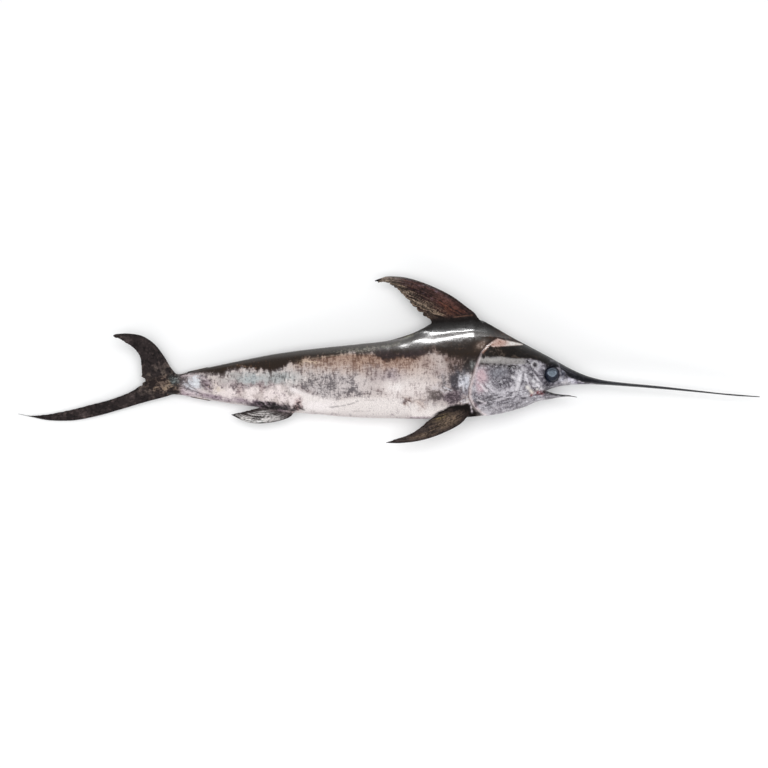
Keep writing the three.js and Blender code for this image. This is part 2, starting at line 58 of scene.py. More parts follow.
FINS = {
    "dorsal": [[364.9, 96.2, 153.3, 85.3, 97, 22], [322.9, 161.2, 156.2, 140, 97, 15], [286.5, 191.8, 129.6, 158.3, 96, 11], [237.3, 228.4, 98.6, 186.4, 94, 8.5], [183.7, 257, 70.2, 218.7, 91, 6.5], [120.6, 283.5, 42.8, 246.9, 87, 5], [58.6, 300.5, 14.7, 269.4, 83, 3.6], [0.1, 303.7, -10, 281.6, 79, 2.6], [-24, 297.6, -34.5, 280.2, 77.5, 2.2], [-47.6, 289.2, -48.2, 286.4, 76, 1.4]],
    "tail_up": [[-756.4, -75.1, -881.3, -97.1, 43, 26], [-794.6, -33.3, -900.7, -64.1, 47, 20], [-822.8, 14.7, -904.2, -25.6, 58, 13], [-855.9, 58, -908.3, 10.4, 74, 9.5], [-897.8, 85.8, -924.4, 37.2, 92, 7], [-945.2, 94.1, -953.2, 58.4, 108, 5], [-976, 93, -977.5, 74.6, 117, 3], [-990, 91.4, -992.4, 78.2, 119.5, 2.4], [-999, 87.6, -999.4, 84.4, 121, 1.5]],
    "tail_low": [[-741.8, -115.5, -874.1, -64.1, 42, 26], [-815.9, -136.1, -913.3, -97.2, 36, 20], [-897.7, -157.5, -958.4, -123.7, 28, 14], [-987, -184.1, -1031.2, -149.8, 20, 10], [-1070, -207, -1105.7, -168.7, 14, 7.5], [-1158.1, -223.7, -1180.2, -187.6, 9, 5.5], [-1247.1, -223.8, -1258.1, -201.6, 6, 3.6], [-1312, -212, -1315.7, -206.8, 4, 2.2], [-1364.2, -200.6, -1364.2, -199.4, 3, 1.2]],
    "anal": [[-329.2, -181.3, -453.6, -155.7, 72, 16], [-362.3, -212.1, -472.1, -173.3, 69, 9], [-413.7, -228.2, -488.8, -179.9, 66, 6.5], [-468.7, -234.5, -507.9, -185.8, 64, 5], [-514.6, -229.8, -531.1, -190.9, 62, 3.8], [-547.7, -216.6, -553.2, -196.1, 61, 2.6], [-573.4, -203, -573.8, -201.6, 60, 1.2]],
    "pectoral_right": [[316.1, -173.4, 258, -144.3, 128, 26], [289.9, -207.6, 246.4, -169.5, 147, 17], [255.3, -239, 193.8, -190.5, 152, 11], [206.5, -264.5, 154, -213.7, 148, 8], [156, -284.6, 117.2, -247.2, 140, 6], [101.7, -298.3, 78.8, -271.8, 130, 4.4], [43.7, -304.8, 31, -288.8, 119, 3], [-6.9, -304.3, -7.2, -302.8, 110, 1.2]],
    "pectoral_left": [[318.9, -166.7, 260.3, -137.4, 62, 26], [290.6, -198.3, 250.1, -172.5, 38, 17], [256.3, -229.8, 202.8, -198.4, 20, 11], [206.8, -257.7, 160.9, -226.4, 11, 8], [157.1, -277.2, 123.9, -258.1, 7, 6], [103.6, -292, 85.1, -281, 5, 4.4], [50.1, -299.4, 40.9, -295, 4, 3], [11.4, -300.9, 11.4, -299.8, 3, 1.2]],
    "dorsal_second": [[-645.9, -42.1, -749, -67.9, 47, 9], [-653.2, -27.4, -739.8, -46.6, 47, 6], [-675.3, -31.4, -748.9, -48.4, 46.5, 3.5], [-752.6, -49.2, -753, -50.7, 46, 1.2]],
    "anal_second": [[-638.5, -119.2, -734.2, -119.2, 48, 9], [-645.8, -151.1, -726.8, -137.1, 48, 6], [-668, -147.8, -736.1, -135, 47, 3.5], [-743.5, -134.6, -743.9, -133.1, 46, 1.2]],
}
EYE = (595.2, -54.2)
EYE_RADIUS, EYE_DEPTH_SCALE, EYE_OUT = 30.0, 0.82, 42.0

# ------------------------------------------------------------------ camera: straight down over the fish
LENS, SENSOR, PITCH, Z_REF = 100.0, 36.0, 3.65, 92.0
CAM_Z = 768 * PITCH * LENS / SENSOR + Z_REF
CAM_X, CAM_Y = -14.5, -89.8


def plan(x, y, z):
    """Where a point shows from straight above, in steps of 3.65 mm at the middle of the fish."""
    f = (CAM_Z - Z_REF) / (CAM_Z - z)
    return 384 + (x - CAM_X) / PITCH * f, 384 - (y - CAM_Y) / PITCH * f


# ------------------------------------------------------------------ curves and noise
def curve(pairs):
    x = np.array([p[0] for p in pairs], float)
    y = np.array([p[1] for p in pairs], float)
    h = np.diff(x)
    s = np.diff(y) / h
    m = np.zeros(len(x))
    m[0], m[-1] = s[0], s[-1]
    for i in range(1, len(x) - 1):
        if s[i - 1] * s[i] > 0:
            m[i] = 3 * (h[i - 1] + h[i]) / ((2 * h[i] + h[i - 1]) / s[i - 1] + (h[i] + 2 * h[i - 1]) / s[i])

    def at(v):
        v = np.clip(np.asarray(v, float), x[0], x[-1])
        i = np.clip(np.searchsorted(x, v, side="right") - 1, 0, len(x) - 2)
        t = (v - x[i]) / h[i]
        return y[i] * (1 + 2 * t) * (1 - t) ** 2 + h[i] * m[i] * t * (1 - t) ** 2 + y[i + 1] * t * t * (3 - 2 * t) + h[i] * m[i + 1] * t * t * (t - 1)

    return at


def hashed(i, j, k, seed):
    with np.errstate(over="ignore"):
        n = (i.astype(np.uint64) * np.uint64(73856093)) ^ (j.astype(np.uint64) * np.uint64(19349663)) ^ (k.astype(np.uint64) * np.uint64(83492791)) ^ np.uint64(seed * 2654435761 % (1 << 32))
        n = (n ^ (n >> np.uint64(13))) * np.uint64(1274126177) & np.uint64(0xFFFFFFFF)
        n = (n ^ (n >> np.uint64(16))) * np.uint64(2246822519) & np.uint64(0xFFFFFFFF)
        n = n ^ (n >> np.uint64(15))
    return (n & np.uint64(0xFFFFFF)).astype(float) / 0xFFFFFF


def noise(p, scale, seed=0, octaves=1, gain=0.55):
    """Value noise from 0 to 1 at points p (n, 3); scale is the size of a feature along each axis."""
    total = np.zeros(len(p))
    weight, amp = 0.0, 1.0
    q = p / np.asarray(scale, float) + 1000.0
    for o in range(octaves):
        f = np.floor(q)
        t = q - f
        t = t * t * t * (t * (t * 6 - 15) + 10)
        i = f.astype(np.int64)
        v = 0.0
        for dx in (0, 1):
            for dy in (0, 1):
                for dz in (0, 1):
                    w = (t[:, 0] if dx else 1 - t[:, 0]) * (t[:, 1] if dy else 1 - t[:, 1]) * (t[:, 2] if dz else 1 - t[:, 2])
                    v = v + w * hashed(i[:, 0] + dx, i[:, 1] + dy, i[:, 2] + dz, seed + 17 * o)
        total += amp * v
        weight += amp
        amp *= gain
        q = q * 2.03 + 11.7
    return total / weight


def step(a, b, v):
    t = np.clip((v - a) / (b - a), 0, 1)
    return t * t * (3 - 2 * t)


def bell(v, mid, width):
    return np.exp(-(((v - mid) / width) ** 2))


def blob(px, py, x, y, rx, ry, turn=0.0):
    c, s = math.cos(math.radians(turn)), math.sin(math.radians(turn))
    u, v = px - x, py - y
    return np.exp(-(((u * c + v * s) / rx) ** 2 + ((-u * s + v * c) / ry) ** 2))


def line_distance(px, py, points):
    """(signed distance, how far along) to an open line; positive on its left as it runs, in plan steps."""
    best = np.full(len(px), 1e9)
    sign = np.ones(len(px))
    along = np.zeros(len(px))
    run = 0.0
    for (ax, ay), (bx, by) in zip(points[:-1], points[1:]):
        dx, dy = bx - ax, by - ay
        n = math.hypot(dx, dy)
        t = np.clip(((px - ax) * dx + (py - ay) * dy) / (n * n), 0, 1)
        ex, ey = px - ax - t * dx, py - ay - t * dy
        d = np.hypot(ex, ey)
        near = d < best
        best = np.where(near, d, best)
        sign = np.where(near, np.sign(dx * ey - dy * ex + 1e-12), sign)
        along = np.where(near, run + t * n, along)
        run += n
    return best * sign, along


def inside(px, py, points):
    hit = np.zeros(len(px), bool)
    for (ax, ay), (bx, by) in zip(points, points[1:] + points[:1]):
        cross = ((ay > py) != (by > py)) & (px < (bx - ax) * (py - ay) / ((by - ay) or 1e-9) + ax)
        hit ^= cross
    return hit


top, bottom, half_width, middle = curve(TOP), curve(BOTTOM), curve(HALF_WIDTH), curve(MIDDLE)
hump, widest, roundness = curve(HUMP), curve(WIDEST), curve(ROUND)


# ------------------------------------------------------------------ lofts
def half_section(y_top, y_round, y_bottom, w, wide_at, n, segments):
    h = y_top - y_round
    y_mid = y_bottom + (y_round - y_bottom) * wide_at
    a = np.linspace(0, math.pi, 321)
    y = y_bottom + (y_top - y_bottom) * 0.5 * (1 + np.cos(a))
    u = np.where(y > y_mid, (y - y_mid) / (y_round - y_mid), (y_mid - y) / (y_mid - y_bottom))
    body = np.where(y >= y_round, 0, w * np.sqrt(np.clip(1 - np.clip(u, 0, 1) ** n, 0, None)))
    z = body
    if h >= 0.2:
        d = np.clip((y_top - y) / h, 0, 1.6)
        ridge = min(1, h / 15) * (HUMP_EDGE * np.minimum(1, np.sqrt(d / 0.12)) + HUMP_FLARE * d**1.65)
        blend = HUMP_BLEND * min(1, h / 15)
        z = np.maximum(body, ridge) + np.clip(blend - np.abs(body - ridge), 0, None) ** 2 / (4 * blend) * (y < y_round)
    z[0] = z[-1] = 0
    run = np.concatenate([[0], np.cumsum(np.hypot(np.diff(y), np.diff(z)))])
    want = np.linspace(0, run[-1], segments + 1)
    return np.stack([np.interp(want, run, y), np.interp(want, run, z)], 1)


def tube(xs, halves, mids):
    """Rings (stations, 2 * segments, 3) round half sections."""
    rings = []
    for x, half, m in zip(xs, halves, mids):
        up = np.column_stack([np.full(len(half), x), half[:, 0], m + half[:, 1]])
        down = np.column_stack([np.full(len(half) - 2, x), half[-2:0:-1, 0], m - half[-2:0:-1, 1]])
        rings.append(np.vstack([up, down]))
    return np.array(rings)


def shell(rings):
    """Vertices and faces of a loft closed at both ends."""
    s, n = rings.shape[:2]
    v = rings.reshape(-1, 3)
    i, j = np.meshgrid(np.arange(s - 1), np.arange(n), indexing="ij")
    a = i * n + j
    b = i * n + (j + 1) % n
    quads = np.stack([a, b, b + n, a + n], -1).reshape(-1, 4)
    first, last = len(v), len(v) + 1
    v = np.vstack([v, rings[0].mean(0), rings[-1].mean(0)])
    j = np.arange(n)
    caps = np.vstack([np.column_stack([np.full(n, first), (j + 1) % n, j]), np.column_stack([np.full(n, last), (s - 1) * n + j, (s - 1) * n + (j + 1) % n])])
    faces = quads.tolist() + caps.tolist()
    # outward?
    tri = np.vstack([quads[:, [0, 1, 2]], quads[:, [0, 2, 3]], caps])
    p = v - v.mean(0)
    if np.einsum("ij,ij->i", p[tri[:, 0]], np.cross(p[tri[:, 1]], p[tri[:, 2]])).sum() < 0:
        faces = [f[::-1] for f in faces]
    return v, faces


def spaced(stops):
    """x stations whose spacing follows [x, spacing] stops."""
    pace = curve(stops)
    out = [stops[0][0]]
    while out[-1] < stops[-1][0]:
        out.append(out[-1] + float(pace(out[-1])) * RES)
    out = np.array(out)
    return stops[0][0] + (out - out[0]) * (stops[-1][0] - stops[0][0]) / (out[-1] - out[0])


GILL = [(521.8, 344.4), (509, 340.4), (498.8, 339.6), (491, 343.2), (486.4, 346.9), (481.8, 351.8), (479, 359.3), (476.1, 367.7), (473.3, 377.5), (470.5, 387.4), (469.8, 395.8), (472.3, 402.5), (476.6, 408), (480.5, 412.5), (486, 415.5)]
WOUND = [(522.5, 344.5), (510, 341.4), (500, 339.5), (496.8, 339.2), (493, 341.6), (489.6, 344.2), (492, 346.4), (500, 346.2), (510, 345.2)]


def relief(px, py, right):
    """How far the skin stands out, in millimetres, from the plain loft."""
    d = np.zeros(len(px))
    g, along = line_distance(px, py, GILL)
    g = -g if line_distance(np.array([500.0]), np.array([380.0]), GILL)[0][0] < 0 else g  # positive on the cover
    fade = step(2, 9, along) * (1 - 0.6 * step(88, 100, along))
    cover = step(-0.45, 0.55, g) * (1 - step(4, 20, g)) * 3.4
    d += fade * cover * (px < 530)
    d -= fade * 4.2 * np.exp(-(((g + 0.95) / 0.62) ** 2)) * (px < 530)
    w, _ = line_distance(px, py, WOUND + WOUND[:1])
    cut = inside(px, py, WOUND)
    d -= 2.6 * np.where(cut, step(0, 0.9, np.abs(w)), 0)
    # eye: a cup with a raised rim and a soft fold below it
    ex, ey = (px - 551.6) * PITCH, (py - 373.8) * PITCH
    turn = np.arctan2(ey, ex)
    r = np.hypot(ex / 1.0, ey / 1.08) * (1 + 0.035 * np.cos(3 * turn + 0.8) + 0.03 * np.cos(2 * turn + 2.0))
    d -= 17 * (1 - step(23.0, 31.0, r))
    d += 1.1 * bell(r, 34.5, 4.0) - 0.9 * bell(r, 40.5, 2.6) * step(-8, 20, ey)
    # folds round the cheek and behind the mouth
    for pts, depth, width in (
        ([(545.4, 390.6), (540, 391.2), (534.5, 392.9), (529.5, 394.8)], 2.0, 0.75),
        ([(527.2, 361.2), (529, 363.4), (531, 366.2), (532, 371)], 1.5, 0.7),
        ([(529, 384), (532.8, 389.2), (537, 393)], 1.1, 0.7),
        ([(539.2, 383.2), (542.2, 387), (545, 390)], 0.9, 0.7),
        ([(523.6, 368), (523.8, 380), (519.6, 392), (511, 402), (499, 409)], 1.3, 1.1),
        ([(476, 371), (490, 370.6), (505, 371), (518, 371.8)], 0.8, 1.6),
        ([(563, 381.5), (574, 379.5), (588, 379.8), (604, 381.6)], 0.7, 0.6),
    ):
        s, a = line_distance(px, py, pts)
        n = sum(math.dist(p, q) for p, q in zip(pts[:-1], pts[1:]))
        d -= depth * np.exp(-((s / width) ** 2)) * step(0, 1.5, a) * (1 - step(n - 1.5, n, a))
    d -= 1.8 * blob(px, py, 534.6, 364.6, 1.3, 1.3)
    for x, y in ((564.6, 368.9), (566.9, 370.4)):  # nostrils
        d -= 1.8 * blob(px, py, x, y, 0.75, 0.42, 30)
    # swell of the cheek, the throat line, the roots of the pectoral and anal fins
    d += 2.2 * blob(px, py, 537, 378, 7, 12) + 1.5 * blob(px, py, 500, 386, 17, 17)
    d += 3.0 * blob(px, py, 462, 402, 9, 5, -30)
    for k in range(7):
        d -= 0.8 * blob(px, py, 293.5 + 2.3 * k, 409.4 - 0.5 * k + (k % 2), 0.8, 3.4, 25 - 7 * k)
    flat = np.column_stack([px, py, np.zeros(len(px))])
    d += 1.3 * (noise(flat, (11, 1.6, 9), 44, 2) - 0.5) * np.clip(1.4 * blob(px, py, 463, 332, 17, 5), 0, 1)
    d += 0.9 * (noise(flat, (3.2, 9, 9), 45, 2) - 0.5) * np.clip(1.4 * blob(px, py, 425, 343, 44, 5, -8), 0, 1)
    return d


def body_rings():
    xs = spaced([[-889, 4.2], [-500, 5.2], [0, 5.2], [230, 4.2], [275, 1.9], [370, 1.9], [470, 2.6], [520, 2.1], [640, 2.1], [712, 3], [820, 6.5], [1363.8, 7.5]])
    n = int(104 / RES)
    halves = [half_section(float(top(x)), float(top(x) - hump(x)), float(bottom(x)), float(half_width(x)), float(widest(x)), float(roundness(x)), n) for x in xs]
    rings = tube(xs, halves, middle(xs))
    s, m = rings.shape[:2]
    # caudal keels
    x, y, z = rings[..., 0], rings[..., 1], rings[..., 2]
    ky = (top(-735) + bottom(-735)) / 2 + 0.02 * (x + 735)
    reach = 24 * np.clip(1 - ((x + 737) / 112) ** 2, 0, None) ** 1.1
    z += np.sign(z - middle(x)) * reach * np.exp(-(((y - ky) / 6.6) ** 2))
    # relief along the normals
    du = np.gradient(rings, axis=0)
    dv = np.roll(rings, -1, 1) - np.roll(rings, 1, 1)
    nrm = np.cross(du, dv)
    nrm /= np.linalg.norm(nrm, axis=-1, keepdims=True) + 1e-9
    mid = np.stack([x, (top(x) + bottom(x)) / 2, middle(x)], -1)
    flip = np.sign((nrm * (rings - mid)).sum(-1, keepdims=True))
    nrm *= np.where(flip == 0, 1, flip)
    flat = rings.reshape(-1, 3)
    over = flat.copy()
    mz = middle(flat[:, 0])
    over[:, 2] = mz + np.abs(flat[:, 2] - mz)
    px, py = plan(*over.T)
    d = relief(px, py, flat[:, 2] > mz)
    side = step(4, 22, np.abs(flat[:, 2] - mz))
    d *= side
    trunk = step(-860, -760, flat[:, 0]) * (1 - step(640, 760, flat[:, 0]))
    lump = noise(flat, (46, 34, 34), 5, 2) - 0.5
    small = noise(flat, (12, 13, 13), 6, 2) - 0.5
    head = step(290, 330, flat[:, 0])
    smooth_back = 1 - 0.8 * step(24, 6, top(flat[:, 0]) - hump(flat[:, 0]) - flat[:, 1] - 12)
    d += trunk * (2.0 * lump + (0.5 + 0.7 * head) * small) * smooth_back
    rings = rings + (d[:, None] * nrm.reshape(-1, 3)).reshape(rings.shape)
    return rings


def jaw_rings():
    j_top, j_bottom, j_wide = curve(JAW_TOP), curve(JAW_BOTTOM), curve(JAW_HALF_WIDTH)
    xs = np.linspace(512, 690.7, int(84 / RES))
    halves = [half_section(float(j_top(x)), float(j_top(x)), float(j_bottom(x)), float(j_wide(x)), 0.55, 1.9, int(44 / RES)) for x in xs]
    return tube(xs, halves, middle(xs))


def spline(values, t):
    v = np.asarray(values, float)
    f = np.clip(t * (len(v) - 1), 0, len(v) - 1 - 1e-9)
    i = f.astype(int)
    s = f - i
    p0, p1 = v[np.maximum(i - 1, 0)], v[i]
    p2, p3 = v[i + 1], v[np.minimum(i + 2, len(v) - 1)]
    return 0.5 * (2 * p1 + (p2 - p0) * s + (2 * p0 - 5 * p1 + 4 * p2 - p3) * s**2 + (3 * p1 - p0 - 3 * p2 + p3) * s**3)


FIN_STYLE = {  # along, across, rays, ridge height, raggedness of the trailing edge, seed
    "dorsal": (150, 64, 30, 0.55, 5.5, 1),
    "tail_up": (96, 46, 22, 0.30, 2.2, 2),
    "tail_low": (210, 40, 22, 0.30, 2.0, 3),
    "anal": (90, 34, 16, 0.42, 2.2, 4),
    "pectoral_right": (116, 34, 18, 0.30, 1.8, 5),
    "pectoral_left": (80, 26, 18, 0.30, 1.0, 6),
    "dorsal_second": (34, 12, 6, 0.1, 0.4, 7),
    "anal_second": (34, 12, 6, 0.1, 0.4, 8),
}


def fin_rings(name):
    rows = np.array(FINS[name], float)
    along, across, rays, ridge, ragged, seed = FIN_STYLE[name]
    along, across = max(8, int(along / RES)), max(6, int(across / RES))
    t = np.linspace(0, 1, along + 1)
    t = 1 - (1 - t) ** 1.12
    lx, ly, tx, ty, zz, tt = [spline(rows[:, k], t) for k in range(6)]
    # torn, scalloped trailing edge: each ray's tip stands a little proud
    one = np.ones_like(t)
    tips = 0.5 + 0.5 * np.cos(2 * math.pi * rays * (1 - t))
    tear = noise(np.column_stack([t * 46, one * 3, one]), 1, seed, 2)
    chord = np.hypot(tx - lx, ty - ly)
    cut = ragged * step(0.1, 0.25, t) * (1 - step(0.93, 1, t)) * (0.3 * (1 - tips) + 1.0 * np.clip(tear - 0.45, 0, 1) * 1.8)
    if name == "dorsal":
        cut += 11 * bell(t, 0.265, 0.012) + 8 * bell(t, 0.335, 0.01) + 5 * bell(t, 0.43, 0.012) + 4 * bell(t, 0.2, 0.01)
        cut -= 3.5 * bell(t, 0.3, 0.012)
    if name == "tail_up":
        cut += 6 * bell(t, 0.10, 0.012) - 4 * bell(t, 0.135, 0.012)
    if name == "tail_low":
        cut += 5 * bell(t, 0.11, 0.01) - 3 * bell(t, 0.08, 0.012)
    keep = 1 - np.clip(cut / np.maximum(chord, 1), -0.1, 0.5)
    e = np.linspace(0, 1, across + 1)
    u = 0.5 - 0.5 * np.cos(math.pi * e)
    u = 0.5 * u + 0.5 * e
    T, U = np.meshgrid(t, u, indexing="ij")
    col = lambda a: a[:, None]
    x = col(lx) + col(tx - lx) * U * col(keep)
    y = col(ly) + col(ty - ly) * U * col(keep)
    ray = U * (1 - T)
    half = 0.32 + np.clip(np.maximum(1.2, col(tt)) / 2 - 0.32, 0, None) * np.minimum(1, 1.35 * np.sqrt(np.clip(U * (1 - U) * (1.6 - 1.1 * U), 0, None)))
    ribs = np.cos(2 * math.pi * rays * ray)
    lift = step(0.08, 0.3, T) * step(0.0, 0.06, U) * (1 - step(0.93, 1, U)) * np.clip(half / 1.2, 0.1, 1)
    half = half + ridge * lift * ribs
    wave = (noise(np.column_stack([x.ravel() / 40, y.ravel() / 40, np.full(x.size, seed)]), 1, seed + 30, 2).reshape(x.shape) - 0.5) * 5.0 * step(0.15, 0.6, T)
    if name.endswith("second"):
        wave = wave * 0
    z = np.maximum(col(zz) + wave, half + 0.15)
    up = np.stack([x, y, z + half], -1)
    down = np.stack([x, y, z - half], -1)[:, ::-1]
    rings = np.concatenate([up, down], 1)
    uu = np.concatenate([U, U[:, ::-1]], 1)
    vv = np.concatenate([T, T[:, ::-1]], 1)
    return rings, uu, vv


def make_mesh(name, v, faces):
    me = bpy.data.meshes.new(name)
    me.from_pydata((v / 1000.0).tolist(), [], faces)
    me.validate()
    ob = bpy.data.objects.new(name, me)
    scene.collection.objects.link(ob)
    return ob


# ------------------------------------------------------------------ the one skin
PARTS = ["body", "jaw"] + list(FINS)
source_p, source_id, source_u, source_v = [], [], [], []
solids = []
v, f = shell(body_rings() + SHIFT)
solids.append(make_mesh("skin", v, f))
source_p.append(v), source_id.append(np.zeros(len(v))), source_u.append(np.zeros(len(v))), source_v.append(np.zeros(len(v)))
v, f = shell(jaw_rings() + SHIFT)
solids.append(make_mesh("jaw_part", v, f))
source_p.append(v), source_id.append(np.ones(len(v))), source_u.append(np.zeros(len(v))), source_v.append(np.zeros(len(v)))
for k, name in enumerate(FINS):
    rings, uu, vv = fin_rings(name)
    v, f = shell(rings + SHIFT)
    solids.append(make_mesh(name + "_part", v, f))
    source_p.append(v)
    source_id.append(np.full(len(v), k + 2.0))
    source_u.append(np.concatenate([uu.ravel(), [0.5, 0.5]]))
    source_v.append(np.concatenate([vv.ravel(), [0, 1]]))

skin = solids[0]
for other in solids[1:]:
    m = skin.modifiers.new("join", "BOOLEAN")
    m.operation, m.object, m.solver = "UNION", other, "MANIFOLD"
dg = bpy.context.evaluated_depsgraph_get()
joined = bpy.data.meshes.new_from_object(skin.evaluated_get(dg))
skin.modifiers.clear()
skin.data = joined
for other in solids[1:]:
    bpy.data.objects.remove(other)
me = skin.data
me.name = "skin"
print("skin", len(me.vertices), "vertices", len(me.polygons), "faces")


def tree(points):
    t = KDTree(len(points))
    for i, p in enumerate(points):
        t.insert(p, i)
    t.balance()
    return t


P = np.empty(len(me.vertices) * 3)
me.vertices.foreach_get("co", P)
P = P.reshape(-1, 3) * 1000
body_tree = tree(np.vstack(source_p[:2]))
fin_points = np.vstack(source_p[2:])
fin_tree = tree(fin_points)
fin_id = np.concatenate(source_id[2:]).astype(int)
fin_u, fin_v = np.concatenate(source_u[2:]), np.concatenate(source_v[2:])
db, df, part = np.empty(len(P)), np.empty(len(P)), np.zeros(len(P), int)
U, V = np.zeros(len(P)), np.zeros(len(P))
for i, p in enumerate(P):
    _, _, db[i] = body_tree.find(p)
    near = fin_tree.find_n(p, 3)
    df[i] = near[0][2]
    w = [1 / (n[2] + 0.05) for n in near]
    s = sum(w)
    U[i] = sum(a * fin_u[n[1]] for a, n in zip(w, near)) / s
    V[i] = sum(a * fin_v[n[1]] for a, n in zip(w, near)) / s
    part[i] = fin_id[near[0][1]]
on_fin = df < db
edges = np.empty(len(me.edges) * 2, int)
me.edges.foreach_get("vertices", edges)
edges = edges.reshape(-1, 2)


def relax(values, weight, rounds):
    out = values.copy()
    count = np.bincount(edges.ravel(), minlength=len(out)).astype(float)
    w = weight[:, None] if out.ndim == 2 else weight
    for _ in range(rounds):
        if out.ndim == 2:
            s = np.stack([np.bincount(edges[:, 0], out[edges[:, 1], k], len(out)) + np.bincount(edges[:, 1], out[edges[:, 0], k], len(out)) for k in range(out.shape[1])], 1)
            avg = s / count[:, None]
        else:
            avg = (np.bincount(edges[:, 0], out[edges[:, 1]], len(out)) + np.bincount(edges[:, 1], out[edges[:, 0]], len(out))) / count
        out = out + (avg - out) * w
    return out


# the crease where a fin leaves the body is rounded
fin_kept, body_kept = tree(P[on_fin]), tree(P[~on_fin])
far = np.array([(body_kept if o else fin_kept).find(p)[2] for p, o in zip(P, on_fin)])
crease = 1 - step(4.0, 14.0, far)
P = relax(P, 0.6 * crease, 16)
# the flank under the rising ridge is smooth
across = np.abs(P[:, 2] - middle(P[:, 0]))
hx, hy = plan(P[:, 0], P[:, 1], middle(P[:, 0]) + across)
swell = np.clip(1.5 * blob(hx, hy, 419, 340, 15, 7, -18), 0, 1) * step(14, 34, across) * ~on_fin
P = relax(P, 0.6 * swell, 45)
# soft flesh settles on the floor
z = P[:, 2]
low = z < 14
P[:, 2] = np.where(low, 0.5 * ((z - 0.4) + np.sqrt((z - 0.4) ** 2 + 5.0**2)) - 0.25, z)
P[:, 2] = np.maximum(P[:, 2], 0.05)
me.vertices.foreach_set("co", (P / 1000).ravel())
me.update()

# ------------------------------------------------------------------ colour, worked out from position alone
mz = middle(P[:, 0])
right = P[:, 2] > mz
over = P.copy()
body_like = ~on_fin
over[:, 2] = np.where(body_like, mz + np.abs(P[:, 2] - mz), P[:, 2])
px, py = plan(*over.T)
N3 = P / PITCH  # noise coordinates in plan steps
N3 = N3 + np.where(right, 0, 400)[:, None]


def rgb(h):
    c = np.array([int(h[i : i + 2], 16) / 255 for i in (1, 3, 5)])
    return np.where(c <= 0.04045, c / 12.92, ((c + 0.055) / 1.055) ** 2.4)


class Paint:
    def __init__(self, n, colour):
        self.c = np.tile(rgb(colour), (n, 1))

    def mix(self, colour, mask):
        m = np.clip(mask, 0, 1)[:, None]
        self.c = self.c * (1 - m) + (rgb(colour) if isinstance(colour, str) else colour) * m


n = len(P)
nz = {
    "big": noise(N3, 26, 11, 3),
    "mid": noise(N3, 9, 12, 3),
    "fine": noise(N3, 3.2, 13, 3),
    "grain": noise(N3, 1.5, 14, 2),
    "streak": noise(N3, (2.1, 16, 16), 15, 3),
    "streak2": noise(N3, (3.6, 26, 26), 16, 2),
    "comb": noise(N3, (1.5, 9, 9), 17, 2),
    "along": noise(N3, (22, 2.4, 2.4), 18, 3),
}
top_line = curve([[146, 381.5], [180, 374], [204, 368.5], [240, 360.8], [280, 353.2], [320, 348.1], [360, 343.9], [388, 340.7], [400, 337.4], [412, 333.3], [422, 328.7], [433, 321.5], [446, 318.2], [471, 315.8], [481, 319.9], [513, 337.8], [549, 356.9], [572, 369.5], [588, 376.2], [604, 380.2], [660, 386.2], [760, 396.4]])(px)
belly_line = curve([[146, 386], [180, 394.8], [204, 399], [262, 407.5], [300, 412.9], [350, 417], [385, 418.2], [430, 418.5], [460, 417.6], [500, 413], [528, 405.3], [545, 391], [568, 385.1], [605, 384.9], [660, 388.8], [760, 397]])(px)

# The skin is a lighter tone, darker marks over it, and the share of the surface the marks take.
A, B = Paint(n, "#cdc2be"), Paint(n, "#776c6d")
C, S = np.full(n, 0.26), np.full(n, 0.75)  # share of marks; how upright and streaky they are


def lay(mask, tone=None, marks=None, share=None, streaky=None):
    global C, S
    m = np.clip(mask, 0, 1)
    if tone:
        A.mix(tone, m)
    if marks:
        B.mix(marks, m)
    if share is not None:
        C = C * (1 - m) + share * m
    if streaky is not None:
        S = S * (1 - m) + streaky * m


warp_x = 9 * (noise(N3, 7.5, 51, 2) - 0.5) + 6 * (noise(N3, (2.2, 3.4, 3.4), 52, 2) - 0.5)
warp_y = 9 * (noise(N3, 7.5, 53, 2) - 0.5) + 7 * (noise(N3, (1.8, 3.4, 3.4), 54, 2) - 0.5)
warp = np.where((px > 470) & (px < 620), 0.28, 1.0)
qx, qy = px + warp * warp_x, py + warp * warp_y


def spot(x, y, rx, ry, turn=0.0, full=1.35):
    return np.clip(full * blob(qx, qy, x, y, rx, ry, turn), 0, 1)


def mark_line(points, width, rough=0.7):
    s_, a_ = line_distance(px, py, points)
    n_ = sum(math.dist(p, q) for p, q in zip(points[:-1], points[1:]))
    return np.exp(-(((s_ + rough * (nz["fine"] - 0.5)) / width) ** 2)) * step(-0.2, 1.0, a_) * (1 - step(n_ - 1.0, n_ + 0.2, a_))


# --- trunk
belly = curve([[180, 396], [230, 402], [262, 403], [282, 397], [300, 394], [330, 401], [360, 398], [400, 399], [440, 404], [470, 410]])(px)
depth = py - top_line
lay(step(0.3, 0.7, nz["big"]) * 0.5, "#bfb0ab")
# beige band under the back, browner at its top
beige = step(286, 304, px) * (1 - step(398, 446, px)) * step(352, 356, py) * (1 - step(366, 381, py))
lay(beige, "#b9a397", "#8a6f62", 0.46, 1.0)
lay(beige * (1 - step(359, 368, py)) * step(300, 330, px), "#ab9182", "#6f5346", 0.50)
lay(spot(366, 363, 7, 5, 0, 0.9), "#a78a78", "#6a4d3d", 0.50)
lay(spot(300, 362, 11, 4.2, 4), "#b09a88", "#4d3826", 0.55)
lay(spot(311, 361, 8, 1.4, -3, 1.0), "#d2bba4", None, 0.1)
